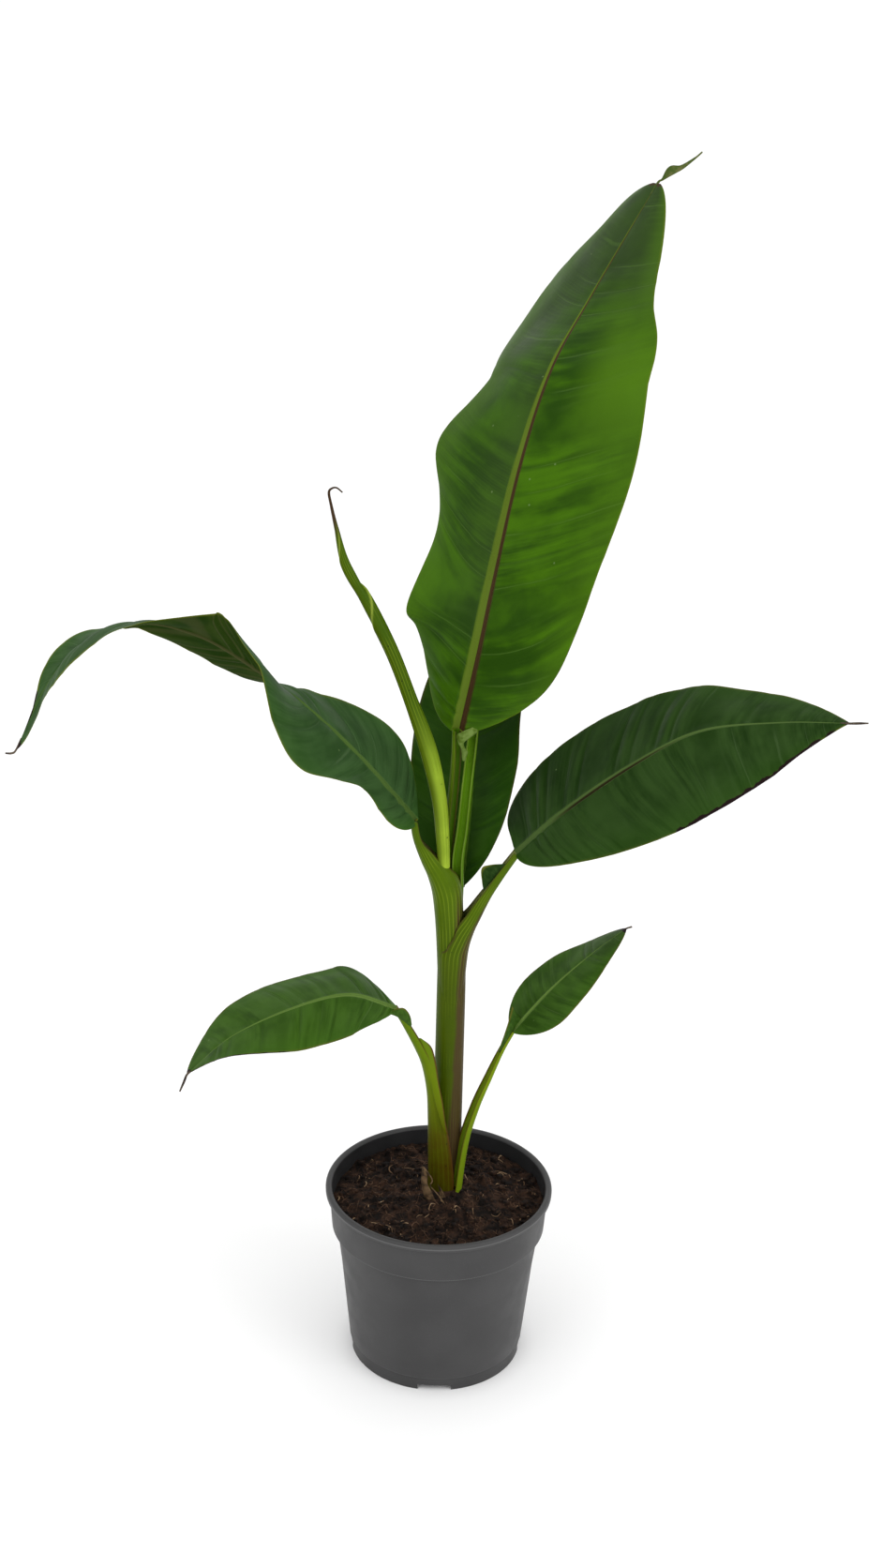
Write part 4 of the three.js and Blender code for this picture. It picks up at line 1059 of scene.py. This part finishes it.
def buildPot():
    # A turned profile, then notches in the foot ring and drain holes cut out of it.
    p = potMake
    inner = p["rim"] - p["rimTall"]
    half = p["rimTall"] / 2
    bend = np.linspace(0, math.pi, 15)
    lip = np.stack([p["rim"] - half + half * np.cos(bend), p["height"] - half + half * np.sin(bend)], -1)
    collarSide = np.linspace((p["collar"], p["collarBottom"]),
                             (p["collarTop"], p["height"] - p["rimTall"] - 0.6), 5)
    bodySide = np.linspace((p["bodyFoot"], p["footTall"] + 0.9), (p["bodyTop"], p["collarBottom"] - 2), 9)
    innerSide = np.linspace((inner, p["height"] - p["rimTall"]), (p["bodyFoot"] - p["wall"], p["footTall"]),
                            9)
    profile = np.vstack([
        [[0.05, 0], [p["boss"], 0], [p["boss"] + 1, p["recess"]], [p["foot"] - p["ring"] - 1, p["recess"]]],
        [[p["foot"] - p["ring"], 0], [p["foot"] - 0.4, 0], [p["foot"], 0.5],
         [p["foot"], p["footTall"] - 0.3]],
        [[p["foot"] + 0.3, p["footTall"]], [p["bodyFoot"] - 0.3, p["footTall"] + 0.3]],
        bodySide,
        [[p["bodyTop"] + 0.5, p["collarBottom"] - 1.2], [p["collar"] - 0.6, p["collarBottom"] - 0.5]],
        collarSide,
        [[p["rim"] - 0.8, p["height"] - p["rimTall"] - 0.5],
         [p["rim"] - 0.1, p["height"] - p["rimTall"] + 0.3]],
        lip,
        innerSide,
        [[p["bodyFoot"] - p["wall"] - 2, p["recess"] + p["floor"]], [0.05, p["recess"] + p["floor"]]],
    ])
    a = np.linspace(0, 2 * math.pi, p["round"], endpoint=False)
    radius, level = profile[:, :1], profile[:, 1:]
    rings = np.stack([radius * np.cos(a), radius * np.sin(a), level * np.ones_like(a)], -1)
    pot = ringPiece("pot_shell", rings * mm, potFinish(), "pot", ["pot"])
    cutters = []
    for i in range(p["notches"]):
        turn = i * 2 * math.pi / p["notches"]
        across, tall = p["notch"]
        bpy.ops.mesh.primitive_cube_add(size=1)
        block = bpy.context.object
        block.data.transform(Matrix.Rotation(turn, 4, "Z") @ Matrix.Translation((0, -p["foot"] * mm, 0))
                             @ Matrix.Diagonal((across * mm, 4 * p["ring"] * mm, 2 * tall * mm, 1)))
        cutters.append(block)
    for i in range(p["holes"]):
        turn = (i + 0.5) * 2 * math.pi / p["holes"]
        bpy.ops.mesh.primitive_cylinder_add(vertices=32, radius=p["hole"] * mm, depth=6 * p["floor"] * mm)
        drill = bpy.context.object
        drill.data.transform(Matrix.Translation((p["holeCircle"] * mm * math.cos(turn),
                                                 p["holeCircle"] * mm * math.sin(turn),
                                                 (p["recess"] + p["floor"] / 2) * mm)))
        cutters.append(drill)
    for cutter in cutters:
        cutting = pot.modifiers.new("cut", "BOOLEAN")
        cutting.operation = "DIFFERENCE"
        cutting.object = cutter
    shaped = bpy.data.meshes.new_from_object(pot.evaluated_get(bpy.context.evaluated_depsgraph_get()))
    pot.modifiers.clear()
    pot.data = shaped
    for cutter in cutters:
        bpy.data.objects.remove(cutter)
    shaped.set_sharp_from_angle(angle=math.radians(40))


buildPot()

# Floor, light and camera
stageMake = {
    "floor": 60.0, "paper": (0.92, 0.92, 0.92), "paperGrain": (0.9, 0.9, 0.9), "glow": 0.08,
    "glowFrom": (0.06, 0.08),
    "target": (-5.09, 0.0, 466.4), "distance": 1662.4, "pitch": 23.0, "roll": 0.0225, "lens": 54.69,
    "sensor": 36,
    "aim": (0, 0, 0.4), "sky": 1.0,
}


def floorFinish():
    # The floor glows a little, as a lit paper sweep does, so that it stays even far away, but not under the
    # pot.
    material, tree, shader = startFinish("pale_floor", Roughness=0.9, Specular_IOR_Level=0.1)
    place = placeOf(tree)
    paper = blended(tree, grain(tree, place, 3), stageMake["paper"], stageMake["paperGrain"])
    feed(shader.inputs["Base Color"], paper)
    reach = tree.nodes.new("ShaderNodeVectorMath")
    reach.operation = "LENGTH"
    feed(reach.inputs[0], place)
    glow = ranged(tree, reach.outputs["Value"], *stageMake["glowFrom"], 0.0, stageMake["glow"])
    feed(shader.inputs["Emission Strength"], glow)
    return material


def buildStage():
    bpy.ops.mesh.primitive_plane_add(size=stageMake["floor"])
    ground = bpy.context.object
    ground.name = "floor"
    ground.data.materials.append(floorFinish())


def addLight(name, place, size, power):
    # A round lamp at place, turned towards the aim.
    lamp = bpy.data.lights.new(name, "AREA")
    lamp.shape = "DISK"
    lamp.size = size
    lamp.energy = power
    holder = bpy.data.objects.new(name, lamp)
    bpy.context.scene.collection.objects.link(holder)
    view = np.array(place, float) - np.array(stageMake["aim"], float)
    flat = math.atan2(view[1], view[0]) + math.pi / 2
    tilt = math.acos(view[2] / np.linalg.norm(view))
    holder.location = place
    holder.rotation_euler = (tilt, 0, flat)


def addSun(name, toward, spread, strength):
    # Wide soft daylight that comes from the direction toward.
    lamp = bpy.data.lights.new(name, "SUN")
    lamp.angle = math.radians(spread)
    lamp.energy = strength
    holder = bpy.data.objects.new(name, lamp)
    bpy.context.scene.collection.objects.link(holder)
    x, y, z = toward
    holder.rotation_euler = (math.atan2(math.hypot(x, y), z), 0, math.atan2(y, x) + math.pi / 2)


def buildCamera():
    # Looks at the target from the front, pitched down and rolled a little about its own axis.
    pitch = math.radians(stageMake["pitch"])
    lens = bpy.data.cameras.new("viewpoint")
    lens.lens = stageMake["lens"]
    lens.sensor_width = stageMake["sensor"]
    holder = bpy.data.objects.new("viewpoint", lens)
    bpy.context.scene.collection.objects.link(holder)
    x, y, z = np.array(stageMake["target"]) * mm
    back = stageMake["distance"] * mm
    spot = Matrix.Translation((x, y - back * math.cos(pitch), z + back * math.sin(pitch)))
    tilt = Matrix.Rotation(math.pi / 2 - pitch, 4, "X")
    holder.matrix_world = spot @ tilt @ Matrix.Rotation(stageMake["roll"], 4, "Z")
    bpy.context.scene.camera = holder


buildStage()
addLight("key", (-1.4, -1.7, 2.3), 1.5, 7)
addLight("fill", (1.9, -1.3, 1.3), 1.6, 15)
addSun("daylight", (-0.3, -1.0, 1.6), 80, 0.35)
world = bpy.data.worlds.new("studio")
world.use_nodes = True
world.node_tree.nodes["Background"].inputs[0].default_value = (1, 1, 1, 1)
world.node_tree.nodes["Background"].inputs[1].default_value = stageMake["sky"]
bpy.context.scene.world = world
bpy.context.scene.view_settings.view_transform = "Standard"
buildCamera()

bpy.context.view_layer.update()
